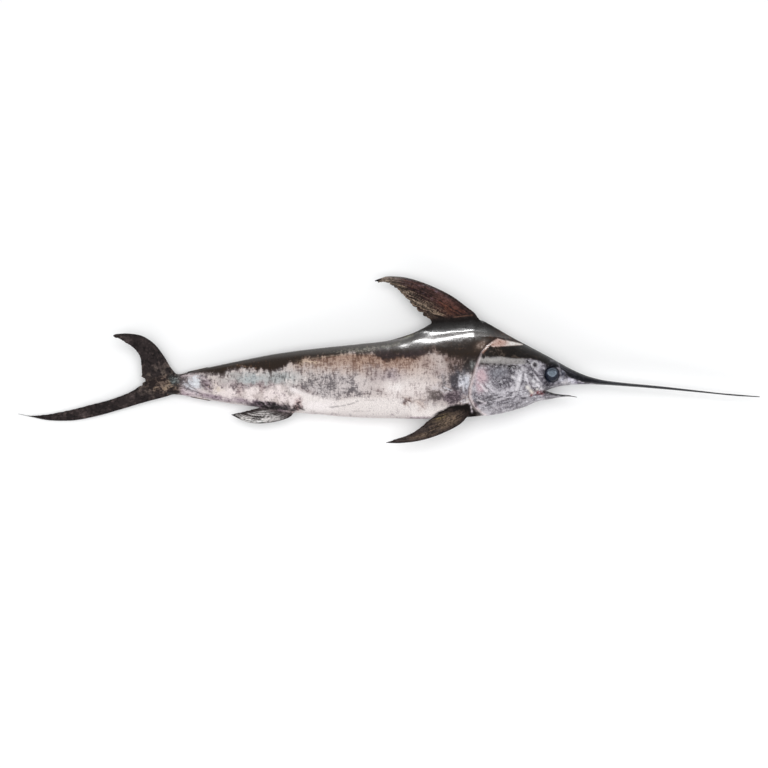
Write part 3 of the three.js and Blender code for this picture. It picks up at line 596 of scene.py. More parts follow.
# grey mottle in the middle of the side
lay(spot(332, 385, 36, 13.5, 4, 1.4), "#c5bcbb", "#716a6c", 0.50, 0.7)
lay(spot(300, 379, 18, 8, 0, 1.2), "#c0b7b4", "#676062", 0.50, 0.9)
lay(spot(350, 389, 12, 8, 0, 0.8) + spot(322, 387, 12, 7, 0, 0.7), None, "#625c5e", 0.60)
lay(spot(318, 391, 17, 4.5, 22, 0.8), "#c4bdbd", None, 0.45)
lay(spot(303, 391, 9, 4.5, 12, 1.2), "#9c8f8e", "#625658", 0.55, 0.4)
lay(spot(374, 371, 9, 6, 0, 1.0), "#b3a5a0", "#7a6b6a", 0.5, 1.0)
lay(spot(392, 376, 11, 6.5, -10, 1.1), "#aa9c9e", "#6c6064", 0.52, 0.9)
lay(spot(375, 376, 6, 5, 0, 0.8), "#a39696", None, 0.5)
# pale forward flank and the white bands under it
lay(step(372, 392, px) * (1 - step(428, 446, px)) * step(377, 388, py), "#dad0cd", "#a89b9a", 0.34, 1.0)
lay(spot(397, 387, 9, 5, -20, 0.9), "#e9e2e0", None, 0.12)
lay(np.exp(-((line_distance(px, py, [(292, 389), (302, 394), (316, 399), (334, 403)])[0] / 3.2) ** 2)), "#e9e1e0", "#a79c9d", 0.14)
low_belly = step(-2.5, 2.5, py - belly + 3 * (nz["mid"] - 0.5)) * step(288, 306, px) * (1 - 0.45 * step(425, 450, px))
lay(low_belly, "#e3dbd8", "#b9afb0", 0.2, 1.0)
lay(low_belly * spot(318, 406, 18, 5), "#eee6e5", None, 0.05)
lay(step(2.6, 0.8, belly_line - py) * step(300, 320, px) * (1 - step(424, 440, px)), "#a1949a", "#77696f", 0.4)
lay(spot(378, 390, 6, 2.4, 28, 1.1), "#a79a98", "#6b5c5c", 0.52, 0.8)
lay(spot(367, 394, 4, 1.6, 8, 1.1), "#aaa09e", "#766a6a", 0.5, 0.8)
lay(spot(410, 401, 5, 2.4, 32, 1.0), "#a08a82", "#5e4c49", 0.58, 0.2)
lay(spot(420, 403, 6, 4.5, 30, 0.8), "#c6b4ad", "#86756f", 0.45, 0.1)
for pts, w, c_, a_ in (
    ([(329, 407.2), (342, 406), (352, 403.6), (359, 400.6)], 0.55, "#7c7577", 0.85),
    ([(352, 411.2), (369, 411.2)], 0.5, "#9a9092", 0.6),
    ([(364, 400), (377, 400.2)], 0.5, "#8b7f80", 0.6),
    ([(413, 400.6), (421, 399.4), (427, 400.4)], 0.55, "#6a5953", 0.7),
    ([(417, 402), (422, 406), (426, 410)], 0.5, "#8a7068", 0.7),
    ([(426, 401), (428, 405), (425, 408)], 0.5, "#8a7770", 0.6),
    ([(291, 360.3), (306, 359.8), (322, 357.2), (350, 353.4)], 0.5, "#c8b19c", 0.65),
    ([(306, 357.6), (330, 355.4), (372, 352.6)], 0.45, "#cbb6a8", 0.55),
    ([(330, 357), (345, 357), (378, 355.8)], 0.5, "#80604f", 0.55),
):
    m_ = mark_line(pts, w) * a_ * step(0.25, 0.45, nz["grain"])
    A.mix(c_, m_), B.mix(c_, m_)
# cool zone towards the tail, with a darker row and white and cream patches under it
lay(step(214, 232, px) * (1 - step(286, 306, px)) * step(370, 374, py) * (1 - step(381, 386, py)), "#bcb7b5", "#726a68", 0.42, 1.0)
lay(spot(251, 379.4, 15, 4.4, 1, 1.2), "#b3b8b9", "#8a8e90", 0.40, 0.5)
lay(spot(281, 378.6, 16, 5.5, -2, 1.1), "#b1b3b3", "#6e6e6e", 0.46, 1.0)
lay(spot(226, 377, 8, 3.2, 0, 1.2), "#a79d9b", "#655a58", 0.55, 0.8)
lay(spot(250, 385.6, 29, 3.0, 2, 1.3), "#a09395", "#5f5355", 0.56, 0.5)
lay(spot(262, 392, 6, 5, 0, 1.0), "#a3908f", "#6d595b", 0.55, 0.3)
lay(spot(240, 392, 4, 5, 0, 0.9), "#b7a5a4", "#776566", 0.5, 0.3)
purple = step(-8.6, -4.4, py - belly_line + 2.4 * (nz["mid"] - 0.5)) * step(184, 206, px) * (1 - step(272, 296, px))
lay(purple, "#a3939b", "#665660", 0.42, 0.1)
lay(purple * step(-2.4, -0.6, py - belly_line), "#7f6f78", "#52424a", 0.5)
for x_, y_, rx_, ry_, t_ in ((230.4, 393.2, 5.6, 6.2, 0), (250.6, 393.8, 5.4, 7, 0), (270, 394.6, 6.5, 5.4, 0), (283, 397, 11, 4.2, 14), (279, 390, 3.4, 3.6, 0), (218, 388, 5.0, 2.8, 28), (222, 390.6, 3.6, 2.4, 0), (293, 399, 8, 3.4, 12)):
    lay(spot(x_ + 1.6 * (nz["fine"] - 0.5), y_, rx_, ry_, t_, 1.5), "#e6dad8", "#95868a", 0.19, 0.3)
lay(spot(218.5, 387.6, 4.2, 2.4, 24, 1.0), "#d3c6ba", None, 0.3)
for x_, y_ in ((227, 376), (231, 378.5), (243, 373.2), (258, 372.4), (292, 375), (299, 381), (305, 377), (288, 384)):
    lay(spot(x_, y_, 0.9, 3.2, 6, 1.0), "#dcd5d2", None, 0.05)
# brown, mauve and grey behind the gill
fore = step(436, 452, px + 9 * (nz["mid"] - 0.5)) * (1 - step(370, 378, py + 3 * (nz["fine"] - 0.5)))
lay(fore, "#8c7a75", "#4a3c37", 0.52, 1.0)
lay(fore * (1 - step(352, 362, py)), "#5e4d46", "#2e2521", 0.68, 1.0)
lay(step(460, 465, px + 3 * (nz["streak"] - 0.5)) * (1 - step(478, 483, px)) * (1 - step(370, 376, py)), "#62554e", "#2a2220", 0.76, 1.0)
lay(spot(472.4, 365, 3.0, 4.6, 12, 1.2), "#8b8d8c", "#4f4f4e", 0.45, 0.7)
lay(spot(446, 360, 5, 5, 0, 1.1), "#6c5852", "#32241f", 0.66, 0.8)
lay(spot(441, 372, 6, 5, 0, 0.9), "#a79895", "#6e5c59", 0.55, 1.0)
lay(spot(455.5, 380, 4.4, 10, 4, 1.7), "#747177", "#403d41", 0.62, 0.5)
lay(spot(444.4, 381.5, 3.6, 6.4, 0, 1.2), "#a49c9f", "#55504f", 0.58, 0.7)
lay(spot(436.5, 395, 9.5, 6.0, -4, 1.4), "#9b8f8d", "#5f5654", 0.60, 0.3)
lay(spot(454, 396, 11, 7.4, -6, 1.6), "#7a6c72", "#4c4247", 0.52, 0.2)
lay(spot(442, 388.6, 8, 2.0, 18, 1.0), "#c3bcbf", None, 0.25)
lay(spot(464.8, 382.0, 4.8, 9.0, 4, 1.5), "#c6c6ce", "#78777e", 0.36, 0.5)
lay(spot(461, 375.4, 2.4, 1.6), "#8f8e90", "#58575a", 0.6)
lay(spot(467, 392, 3, 3.4, 0, 1.2), "#8d878e", "#4a454a", 0.5, 0.1)
for pts in ([(458.6, 379), (466, 377)], [(458.2, 386), (465, 383)], [(460, 401.6), (468.6, 398.4)], [(462, 403.4), (469.4, 400.8)], [(443, 386.6), (452, 390.6)]):
    m_ = mark_line(pts, 0.55) * 0.85
    A.mix("#dad9de", m_), B.mix("#b9b8be", m_)
# dark back; its lower edge breaks up into marks and fingers
edge = curve([[150, 379], [175, 375.0], [184, 374.4], [200, 372.6], [212, 374.4], [222, 374.8], [227, 369.6], [241, 367.8], [253, 368.6], [258, 370.6], [272, 370.8], [284, 368.0], [290, 363.4], [298, 360.8], [313, 358.0], [330, 356.4], [360, 353.8], [376, 355.8], [392, 357.6], [402, 355.8], [414, 356.8], [426, 354.6], [440, 354], [452, 356], [470, 357], [480, 357], [500, 356.6], [511.5, 358], [523, 358.4], [532, 359.2], [542, 362], [548, 366.0], [556, 366.4], [562, 369.4], [567, 374.0], [573, 378.4], [582, 381.2], [592, 382.8], [606, 384.6], [640, 386.8], [700, 392.6], [760, 398]])(px)
trunk_side = 1 - step(482, 500, px)
ragged = (nz["streak"] - 0.5) * 6.5 * trunk_side * step(196, 240, px) + (nz["mid"] - 0.5) * 3.0
ragged *= 0.3 + 0.7 * trunk_side
ragged += 3.4 * (noise(N3, 2.6, 99, 2) - 0.5) * step(536, 546, px) * (1 - step(578, 590, px))
inward = edge + ragged - py
soft_side = np.where(px < 480, 3.6, 1.0)
back = step(-1, 1, inward / soft_side)
back = np.maximum(back, step(3.0, -0.5, depth - 2.4) * step(176, 190, px))
deep = np.maximum(step(-0.2, 1.3, inward / soft_side), step(3.0, -0.5, depth - 2.4))
lay(deep * trunk_side, "#4e2f1c", "#241408", None, 0.7)
lay(deep * trunk_side * spot(250, 366, 22, 4, -5), "#6a4630", "#1c130c", None, 0.8)
lay(back * trunk_side, None, None, 0.90)
lay(back * trunk_side, None, "#23160c")
lay(deep * spot(240, 369.2, 13, 2.6, -3, 1.4) * trunk_side, "#97755b", "#33210f", 0.56, 1.0)
# olive-grey bands along the back at set depths under its top line: partly skin colour, partly painted sheen
lay(deep * bell(depth, 5.4, 2.3) * step(300, 350, px) * (1 - step(400, 425, px)), "#6e6b60", "#2f2c26", 0.60, 0.3)
lay(deep * bell(depth, 7.6, 1.6) * step(335, 352, px) * (1 - step(372, 384, px)), "#8a8378", "#4b443c", 0.5, 0.9)
lay(deep * bell(depth, 2.0, 1.5) * step(398, 408, px) * (1 - step(424, 432, px)), "#7c7d6c", "#3a3a30", 0.45, 0.2)
lay(spot(387, 353.6, 12, 3.2, 4, 1.5) + spot(414, 354, 13, 3.4, -4, 1.5), "#5a4645", "#2c2020", 0.80, 0.5)
lay(spot(437, 351.4, 8, 2.4, 28, 1.0), "#8d7b74", "#4d3e38", 0.5, 0.5)
lay(spot(456, 347, 14, 4, 4, 1.0) * trunk_side, "#463a31", "#221a16", 0.66, 0.6)
lay(spot(428, 362, 9, 6, 0, 0.9), "#a6938c", "#6b5751", 0.48, 1.0)

# --- tail root
root = 1 - step(186, 208, px + 5 * (nz["mid"] - 0.5))
lay(root * step(-2.0, 1.0, inward * -1), "#aa9d9d", "#5b4e4f", 0.52, 0.0)
lay(root * step(-9, -5, py - belly_line) * step(178, 184, px), "#b5a3a9", "#6d5b63", 0.36, 0.0)
lay(spot(183.4, 380.4, 4.4, 3.6, 15, 1.6), "#8d8080", "#4d4243", 0.62, 0.0)
lay(spot(187.5, 386.6, 4.8, 2.4, 20, 1.3), "#8f8385", "#5a4d4f", 0.6, 0.0)
# white spot on the side keel at the tail root: a painted highlight on its glossy top
lay(spot(194.6, 383.2, 6.6, 6.6, 40, 2.0), "#dfe0e6", "#a5a3aa", 0.16, 0.0)
lay(spot(196.4, 381.6, 3.2, 3.6, 30, 1.4), "#f0f3f7", None, 0.02)
lay(spot(206.4, 383.6, 4.2, 6.6, -38, 2.0), "#6b5b60", "#42353a", 0.62, 0.0)
lay(spot(205.6, 381.0, 1.4, 2.6, -38, 1.4) + spot(207.6, 387.4, 2.6, 1.0, 20, 1.3), "#a3949a", "#7d6d74", 0.4, 0.0)
lay(spot(208.6, 384.4, 1.3, 0.9), "#c9b3a6", None, 0.0)
for pts in ([(195, 377), (200, 378.4), (201.6, 382.4), (205.6, 387.4), (213, 391.4)], [(201, 377), (208, 380.4), (211.4, 386.4)], [(181, 389), (188, 392.4), (196, 393.6)], [(180, 376.6), (186.4, 375.4), (194, 376.2)], [(197, 389), (204, 392), (212, 393.8)]):
    m_ = mark_line(pts, 0.75) * 0.85
    A.mix("#d3c6c8", m_), B.mix("#ad9ea2", m_)
for pts in ([(198, 377.4), (201.6, 380), (203, 385), (208, 390)], [(186, 388.8), (196, 391.6), (203, 394.6)], [(188, 378), (186.6, 382), (190, 386.6), (196, 389.4)]):
    m_ = mark_line(pts, 0.6) * 0.75
    A.mix("#54474a", m_), B.mix("#3f3438", m_)
tailward = 1 - step(176, 181.5, px + 4 * (nz["fine"] - 0.5))
lay(tailward, "#5c4e47", "#211b1b", 0.74, 0.0)
lay(spot(165, 384, 10, 7), "#75645a", "#2e2422", 0.62, 0.0)
lay(spot(174.8, 378.6, 4.6, 3.2, 10, 1.2), "#7c8281", "#3d403f", 0.50, 0.0)
lay(spot(168, 386.8, 3.2, 1.9, 0, 1.7) + spot(153.8, 388.2, 2.2, 1.6, 0, 1.2) + spot(173.9, 387.4, 1.8, 1.3, 0, 1.2) + spot(170.3, 381.3, 1.4, 1.2, 0, 1.2), "#94816f", "#4d3f37", 0.36, 0.0)

# --- head
gill_side = 1 if line_distance(np.array([500.0]), np.array([380.0]), GILL)[0][0] > 0 else -1
g, along = line_distance(px, py, GILL)
g = g * gill_side
head = np.where(px > 468, step(-0.6, 0.6, g), 0)
head = np.where(px > 521, 1, head) * (px > 466) * (py > 339)
keepA, keepB, keepC, keepS = A.c.copy(), B.c.copy(), C.copy(), S.copy()
A.c[:], B.c[:] = rgb("#b6b1b8"), rgb("#6f6a72")
C[:], S[:] = 0.46, 0.15
scratchy = np.full(n, 1.0)


def strokes(angle, length, width, seed):
    """Noise drawn out along a slant, in degrees below the fish's length."""
    c_, s_ = math.cos(math.radians(angle)), math.sin(math.radians(angle))
    return noise(np.column_stack([(px * c_ + py * s_) / length, (py * c_ - px * s_) / width, N3[:, 2] / length]), 1, seed, 2)


coarse = noise(N3, 5.0, 91, 2)
lay(step(0.53, 0.68, coarse) * 0.8, "#928d94", "#4b464d", 0.56)
lay(step(0.53, 0.68, 1 - coarse) * 0.7, "#ccc8ce", "#8f8a91", 0.34)
for zone, s_ in (
    (spot(533, 382, 9, 13, 0, 1.4), strokes(56, 9, 1.9, 93)),
    (spot(514, 386, 9, 16, 10, 1.4), strokes(108, 10, 1.9, 94)),
    (step(389, 396, py + 0.25 * (px - 500)), strokes(-15, 12, 1.7, 95)),
    (spot(486, 389, 9, 8, 0, 1.3), strokes(40, 9, 1.8, 96)),
):
    lay(zone * step(0.53, 0.66, s_) * 0.85, "#dedae0", "#a8a3aa", 0.26)
    lay(zone * step(0.53, 0.66, 1 - s_) * 0.8, "#78737b", "#3d383f", 0.60)
# smooth pale band under the dark crown, then a blotchy black row
lay((1 - step(521, 530, px)) * (1 - step(363.4, 365.4, py)), "#9d9998", "#858180", 0.34, 0.2)
scratchy *= 1 - 0.95 * (1 - step(523, 530, px)) * (1 - step(364, 367, py))
lay(bell(qy, 359.6, 1.5) * (1 - step(492, 516, qx)) * 0.8, "#b3afab", "#9c9894", 0.2)
row = np.clip(1.5 * bell(py, curve([[478, 365.2], [495, 365.8], [515, 367.6], [524, 369.4]])(px) + 2.6 * (nz["mid"] - 0.5), 2.0), 0, 1) * (1 - step(514, 526, px))
lay(row * 0.75, "#6b6565", "#2c2727", 0.50)
lay(row * step(0.46, 0.60, noise(N3, (5.5, 2.2, 3), 97, 2)), "#322c2c", "#1c1818", 0.8)
lay(spot(497, 373.6, 11, 4.6, -4, 1.6), "#8f8e95", "#68666d", 0.46)
scratchy *= 1 - 0.9 * spot(495, 373.5, 13, 5, -4, 1.5)
lay(spot(504, 381.5, 9, 5.0, -12, 1.3), "#757179", "#403c43", 0.56)
lay(spot(511, 372, 5, 3.4, 0, 1.0), "#6c6870", "#3a363c", 0.58)
lay(spot(487, 369, 7, 1.8, 0, 0.9), "#7f7a80", "#4a4549", 0.56)
lay(spot(481.8, 375.8, 5.0, 6.8, -14, 1.8), "#cdb4ba", "#a88f98", 0.34)
scratchy *= 1 - 0.8 * spot(482, 376, 5, 7, -14, 1.5)
lay(spot(479.6, 387, 3.6, 6, -6, 1.2), "#cdb5bc", "#8d747e", 0.42)
lay(spot(518.6, 380, 4, 9, 16, 1.0), "#d6d3d8", "#837e86", 0.34)
lay(spot(483, 403.0, 7.0, 2.6, 4, 1.7), "#5a535b", "#262127", 0.66)
lay(spot(488, 396, 8, 3.6, 10, 0.9), "#817b82", "#3b353c", 0.60)
lay(step(406, 411, py) * 0.6, "#b7b2b7", "#837d83", 0.40)
lay(spot(511.8, 380, 2.4, 7.5, 14, 1.1), "#6c6770", "#37333a", 0.6)
for x0, y0, x1, y1, w, c_, a_ in (
    (520.6, 374.2, 519.0, 382, 1.2, "#e3dfe4", 1.0), (519.0, 382, 515.6, 391, 1.25, "#dedade", 1.0), (514.6, 392, 513.6, 395.6, 1.0, "#d8d3d8", 0.8),
    (526.4, 385.4, 529.4, 389.4, 1.2, "#e6e0da", 1.0), (529.4, 389.4, 533.4, 394.0, 1.2, "#e9dfd4", 1.0),
    (536.0, 383.4, 540.0, 387.6, 0.9, "#ece8ec", 1.0), (540.0, 387.6, 543.8, 390.8, 0.9, "#ece8ec", 1.0),
    (531.6, 380.2, 535.4, 382.8, 1.4, "#e3e0e4", 0.95), (536.8, 378.4, 538.4, 381.6, 0.9, "#dfdbe1", 0.9), (528.4, 376, 531.0, 379.2, 0.8, "#d9d5db", 0.8),
    (540.9, 362.4, 539.8, 368.4, 0.9, "#b9b6bf", 0.85), (524.6, 372.6, 525.6, 379, 0.8, "#d8d4da", 0.8), (511, 376.0, 514.6, 378.0, 1.1, "#e1dde2", 0.85),
    (521.8, 366.2, 523.6, 370.6, 0.8, "#cdc9ce", 0.6), (509.6, 382.4, 511.6, 385, 0.8, "#d5d0d6", 0.8), (506, 388.6, 509.4, 390.2, 0.8, "#cdc8ce", 0.7),
    (479.2, 383.2, 485.6, 389.8, 0.6, "#e9dfe4", 0.95), (484.4, 390.4, 488.6, 390.0, 0.8, "#e5dbe0", 0.9), (489.5, 388.0, 494.6, 392.8, 0.6, "#d9d3da", 0.75),
    (476.6, 399.6, 487, 403.2, 0.5, "#d6cdd2", 0.8), (479, 405.8, 487.4, 402.8, 0.6, "#c9c1c8", 0.8), (484, 396, 491, 394, 0.6, "#c9c3ca", 0.6),
    (497, 401, 507, 398, 0.5, "#c6c0c6", 0.55), (503, 391.6, 506.8, 394.8, 0.6, "#d0cad0", 0.6), (522, 395.6, 530, 397.4, 0.55, "#bcb6bc", 0.55), (534, 397.0, 545, 399.0, 0.5, "#bcb6bb", 0.5),
    (492, 408, 512, 404.6, 0.5, "#c9c3c8", 0.5), (515, 402, 532, 398.8, 0.5, "#bdb7bd", 0.5), (547, 397.2, 560, 395.6, 0.5, "#8d888c", 0.5),
):
    m_ = mark_line([(x0, y0), (x1, y1)], 0.25 + 1.15 * w, 0.9) * min(1, a_ * 1.15)
    A.mix(c_, m_), B.mix(c_, m_ * 0.95)
for pts, w, c_, a_ in (
    ([(526.4, 359.8), (528.4, 362.8), (531.6, 366.8)], 1.5, "#1d181a", 1.0),
    ([(531.0, 366.2), (531.8, 370.4), (533.0, 375)], 1.1, "#46414a", 0.85),
    ([(523.6, 371), (522.8, 380), (519.8, 390)], 1.0, "#49444d", 0.8),
    ([(526.5, 368), (529.4, 376), (531.6, 384)], 0.75, "#4e494f", 0.7),
    ([(528.6, 382.4), (532, 387), (536, 391.6)], 0.8, "#4c4147", 0.75),
    ([(534.6, 376), (537.4, 380), (541.4, 385.4)], 0.7, "#5a555e", 0.65),
    ([(546.4, 391), (541, 391.4), (535, 393.3), (530, 395.2)], 0.55, "#5a2c2f", 0.75),
    ([(543.4, 384.4), (551, 386.2), (560, 384.6)], 0.6, "#7b7680", 0.5),
    ([(545.6, 391.6), (552, 393.6), (560, 395.4), (570, 396.8), (578, 397.6)], 1.25, "#231f21", 0.95),
):
    m_ = mark_line(pts, w, 1.8) * a_ * (0.35 + 0.65 * step(0.36, 0.52, nz["fine"]))
    A.mix(c_, m_), B.mix(c_, m_)
lay(bell(np.hypot(px - 534.9, py - 364.8), 3.2, 0.8), "#c6c3c6", "#918d92", 0.25)
m_ = np.clip(1.8 * blob(px, py, 534.9, 364.8, 1.7, 2.0), 0, 1)
lay(m_, "#4f4b4e", "#363235", 0.6)
scratchy *= 1 - m_
lay(spot(540.2, 392.6, 4.8, 1.9, 4, 1.4), "#9a5558", "#5f2629", 0.55)
lay(spot(531.8, 394.8, 1.5, 0.9, 0, 1.1) + spot(543.8, 391.2, 1.6, 0.9, 0, 1.2), "#8f3a3e", "#6b2125", 0.5)
lay(spot(536.8, 389.4, 1.0, 1.0, 0, 1.6), "#efeae6", None, 0.0)
r = np.hypot((px - 551.8) / 1.0, (py - 374.4) / 1.06) + 0.8 * (nz["mid"] - 0.5)
bearing = np.arctan2(py - 374.4, px - 551.8)
radial = noise(np.column_stack([np.cos(bearing) * 9, np.sin(bearing) * 9, r * 0.12]), 1, 98, 2)
around = np.clip(1.3 * bell(r, 10.2, 2.6), 0, 1) * (py < 386)
lay(around, "#8f8b93", "#57535c", 0.5)
upper_left = 0.35 + 0.65 * step(2, -4, px - 551.8) * step(3, -3, py - 375)
lay(around * upper_left * step(0.50, 0.66, radial) * 0.8, "#c2bfc6", "#837f88", 0.3)
lay(around * upper_left * step(0.50, 0.66, 1 - radial) * 0.6, "#67626b", "#37343b", 0.56)
scratchy *= 1 - 0.8 * around
lay(spot(547, 383.4, 3.6, 3.2, 0, 1.4), "#4b4751", "#28252c", 0.6)
lay(step(8.6, 7.2, r), "#30343f", "#1b1d26", 0.5)
scratchy *= step(7.5, 9.5, r)
lay(spot(546.8, 364.4, 5.0, 2.4, 32, 1.4) * step(0.35, 0.6, radial + 0.2), "#5b5760", "#2a272e", 0.58)
lay(spot(561.4, 380.0, 2.4, 2.6, 0, 1.5), "#d3d2da", "#8b8996", 0.3)
lay(spot(564.0, 372.4, 2.4, 3.0, 30, 1.3), "#a7abb8", "#4d4e5c", 0.42)
lay(spot(570.6, 376.8, 7.5, 3.4, 28, 1.7), "#4f4a56", "#1f1c25", 0.60)
lay(spot(571.4, 380.8, 3.6, 2.2, 22, 1.9), "#dcd9e4", "#9a95a7", 0.26)
lay(spot(565, 383.0, 6, 1.3, -10, 1.1), "#cdc8cd", "#8f8a92", 0.34)
lay(spot(556, 387.4, 10, 1.6, -14, 1.1), "#c5c0c5", "#7f7a82", 0.34)
lay(spot(550, 388.4, 5, 1.0, -8, 1.1), "#6d6870", "#37333a", 0.55)
snout = step(0.6, 2.4, py - edge) * step(572, 580, px)
lay(snout * (1 - step(590, 606, px)), "#857d91", "#3f3847", 0.58, 1.0)
lay(step(586, 610, px), "#4a4040", "#241f20", 0.62, 0.0)
lay(step(800, 960, px), "#5c5452", "#332d2d", 0.55, 0.0)
jawish = step(540, 548, px) * step(390.6, 392.4, py)
lay(jawish, "#8f8a90", "#4b464b", 0.55)
jaw_top = curve([[540, 390.6], [545, 391.0], [553.8, 393.3], [561.2, 394.4], [568.2, 395.0], [577.2, 396.9]])(px)
lay(step(541, 546, px) * step(391.0, 391.8, py) * (1 - step(1.0, 2.7, py - jaw_top + 0.8 * (nz["fine"] - 0.5))), "#2c2729", "#171415", 0.7)
lay(step(556, 566, px) * step(390.0, 391.6, py), "#3b3639", "#1d191b", 0.7)
lay(mark_line([(549, 396.4), (555, 396.6), (561, 396.4)], 0.6) * 0.8, "#a9a4a8", "#8b868b", 0.3)
crown = np.maximum(step(-1.1, 0.8, inward), 0)
lay(crown, "#3a2f27", "#171311", 0.84, 0.2)
lay(crown * spot(497, 353, 10, 3, 0), "#473d36", "#201914", 0.70, 0.2)
lay(crown * step(540, 556, px), "#2f2e36", "#15151a", 0.7, 0.2)
lay(crown * step(0.56, 0.68, strokes(22, 9, 2.0, 100)) * (1 - step(528, 545, px)), "#4c423b", "#241c17", 0.55, 0.2)
lay(mark_line([(549.4, 360.6), (556.0, 361.0), (559.2, 365.0), (560.2, 370.4), (559.8, 376.4)], 0.6) * 0.85, "#77747c", "#5b5861", 0.4)
lay(mark_line([(548.4, 358.0), (551.6, 360.0)], 0.55) * 0.8, "#7f7e7a", "#4f4d4c")
lay(mark_line([(560, 366.4), (568, 371.4), (577, 375.6)], 0.5) * 0.6, "#5a5964", "#3e3c46")
scratchy *= (1 - crown) * (1 - step(572, 586, px)) * head
hm = head[:, None]
A.c, B.c = keepA * (1 - hm) + A.c * hm, keepB * (1 - hm) + B.c * hm
C, S = keepC * (1 - head) + C * head, keepS * (1 - head) + S * head
# gill edge: pale lip, and painted shade in the crevice behind it
low_half = step(8, 26, along)
m_ = np.exp(-(((g + 1.15) / 0.85) ** 2)) * (px < 530) * (0.6 + 0.4 * low_half) * step(4, 14, along)
A.mix("#1f1918", m_), B.mix("#1a1413", m_)
lip = np.exp(-(((g - 0.15) / (0.75 + 0.65 * step(46, 60, along))) ** 2)) * (px < 526) * step(18, 28, along)
lip = lip * (0.60 + 0.40 * step(46, 60, along)) * (0.8 + 0.4 * (nz["fine"] - 0.3))
A.mix("#e8dbdc", lip), B.mix("#cbb8b8", lip)
scratchy *= 1 - np.clip(lip, 0, 1)
wd = np.abs(line_distance(px, py, WOUND + WOUND[:1])[0])
wound = np.clip(np.where(inside(px, py, WOUND), 1.0, np.exp(-((wd / 0.4) ** 2))), 0, 1)
A.mix("#bf9f94", wound), B.mix("#8d6b5e", wound)
C = C * (1 - wound) + 0.35 * wound
A.mix("#d6c0b8", wound * step(0.9, 0.2, wd) * (px < 508)), A.mix("#ebe6e2", wound * step(503, 512, px)), B.mix("#d3c2b8", wound * step(503, 512, px))
m_ = mark_line([(489.6, 344.6), (485.6, 348.6), (482.0, 353.4)], 0.9) * 0.85
A.mix("#d9b8a8", m_), B.mix("#a9806e", m_)
m_ = spot(480.8, 345.4, 5.0, 3.6, -38, 1.5) * (g < 0.2)
A.mix("#bdaea5", m_), B.mix("#6a584e", m_)
C = C * (1 - m_) + 0.5 * m_
# black under the lower corner of the gill cover, by the pectoral root: painted shade
m_ = np.clip(1.5 * blob(px, py, 477.5, 413.6, 4.2, 2.2, 26), 0, 1) * (py > 409) * (px > 470)
A.mix("#17110f", m_), B.mix("#120d0c", m_)
m_ = spot(471.4, 410.6, 1.3, 2.2, 0, 1.5)
A.mix("#dcd7da", m_), B.mix("#b3a9ad", m_)
m_ = spot(475, 406.5, 3.4, 3.0, 30, 1.0) * (g > -0.5)
A.mix("#a3909a", m_), B.mix("#4d3a42", m_)
# wrinkled brown and pink skin in front of the anal fin, dark skin over its root
m_ = spot(296.4, 406.4, 3.6, 6.4, 32, 1.3)
A.mix("#a98c8a", m_), B.mix("#332727", m_)
C = C * (1 - m_) + 0.62 * m_
m_ = mark_line([(297.5, 406.8), (304.4, 410.2)], 1.0) * 0.9
A.mix("#3a2f2f", m_), B.mix("#2c2222", m_)
m_ = spot(273, 406.4, 19, 3.0, 6, 1.6) * (py > 401.5)
A.mix("#4a4343", m_), B.mix("#1e1a1b", m_)
C = C * (1 - m_) + 0.66 * m_
# fleshy root of the first dorsal fin
fleshy = step(-0.5, 3, (hump(P[:, 0]) / PITCH + top_line) - py + 3) * step(405, 425, px) * (1 - step(488, 505, px)) * step(0.5, 2, hump(P[:, 0]) / PITCH)
A.mix("#2b2421", fleshy), B.mix("#14100f", fleshy)
C = C * (1 - fleshy) + 0.8 * fleshy

# --- fins
fin = Paint(n, "#2f2725")
ray = U * (1 - V)


def ribs(count, sharp, seed, wobble=0.35):
    phase = count * ray + wobble * (noise(np.column_stack([ray * count, V * 3, V * 0 + seed]), 1, seed, 2) - 0.5)
    return np.clip(0.5 + 0.5 * sharp * np.cos(2 * math.pi * phase), 0, 1)


def which(name):
    return on_fin & (part == 2 + list(FINS).index(name))


seedy = np.column_stack([ray * 60, V * 6, np.where(right, 0.0, 50.0)])
long1 = noise(seedy, 1, 71, 2)
long2 = noise(np.column_stack([ray * 26, V * 4, np.where(right, 0.0, 50.0)]), 1, 72, 3)
long3 = noise(np.column_stack([ray * 110, V * 9, np.where(right, 0.0, 50.0)]), 1, 73, 2)
tail_col = Paint(n, "#2e2727")
tail_col.mix("#4a403f", step(0.5, 0.68, nz["fine"] * 0.5 + nz["mid"] * 0.5) * 0.75)
tail_col.mix("#5b504e", step(0.56, 0.72, long1 * 0.6 + nz["fine"] * 0.4) * 0.45)
tail_col.mix("#1c1819", step(0.5, 0.7, 1 - nz["mid"]) * 0.55)
tail_col.mix("#6a5b57", step(0.62, 0.72, nz["grain"] * 0.5 + nz["fine"] * 0.5) * (1 - step(0.5, 0.9, V)) * 0.45)
near_root = 1 - step(0.02, 0.26, V)
tail_col.mix("#75685f", near_root * step(0.46, 0.62, nz["fine"] * 0.6 + nz["mid"] * 0.4) * 0.8)
tail_col.mix("#6f625a", blob(px, py, 166.7, 387.2, 3, 2) + blob(px, py, 173.9, 387.6, 3, 2) + 0.8 * blob(px, py, 154, 388.2, 2.6, 1.6) + 0.7 * blob(px, py, 170.3, 381.3, 1.6, 1.4))
tail_col.mix("#6d7273", blob(px, py, 177, 380, 4.5, 4.5) * 0.6)
d_col = Paint(n, "#3a2826")
d_col.mix("#4c2a29", step(0.05, 0.2, U) * (1 - step(0.5, 0.7, U)) * step(0.4, 0.6, long2) * 0.95)
d_col.mix("#624640", step(0.48, 0.66, long1) * (1 - step(0.45, 0.75, U)) * 0.6)
d_col.mix("#6f5f68", step(0.52, 0.66, noise(N3, (4, 2, 2), 81, 2) * 0.5 + long2 * 0.5) * step(0.25, 0.5, V) * (1 - step(0.75, 0.95, V)) * (1 - step(0.5, 0.7, U)) * 0.75)
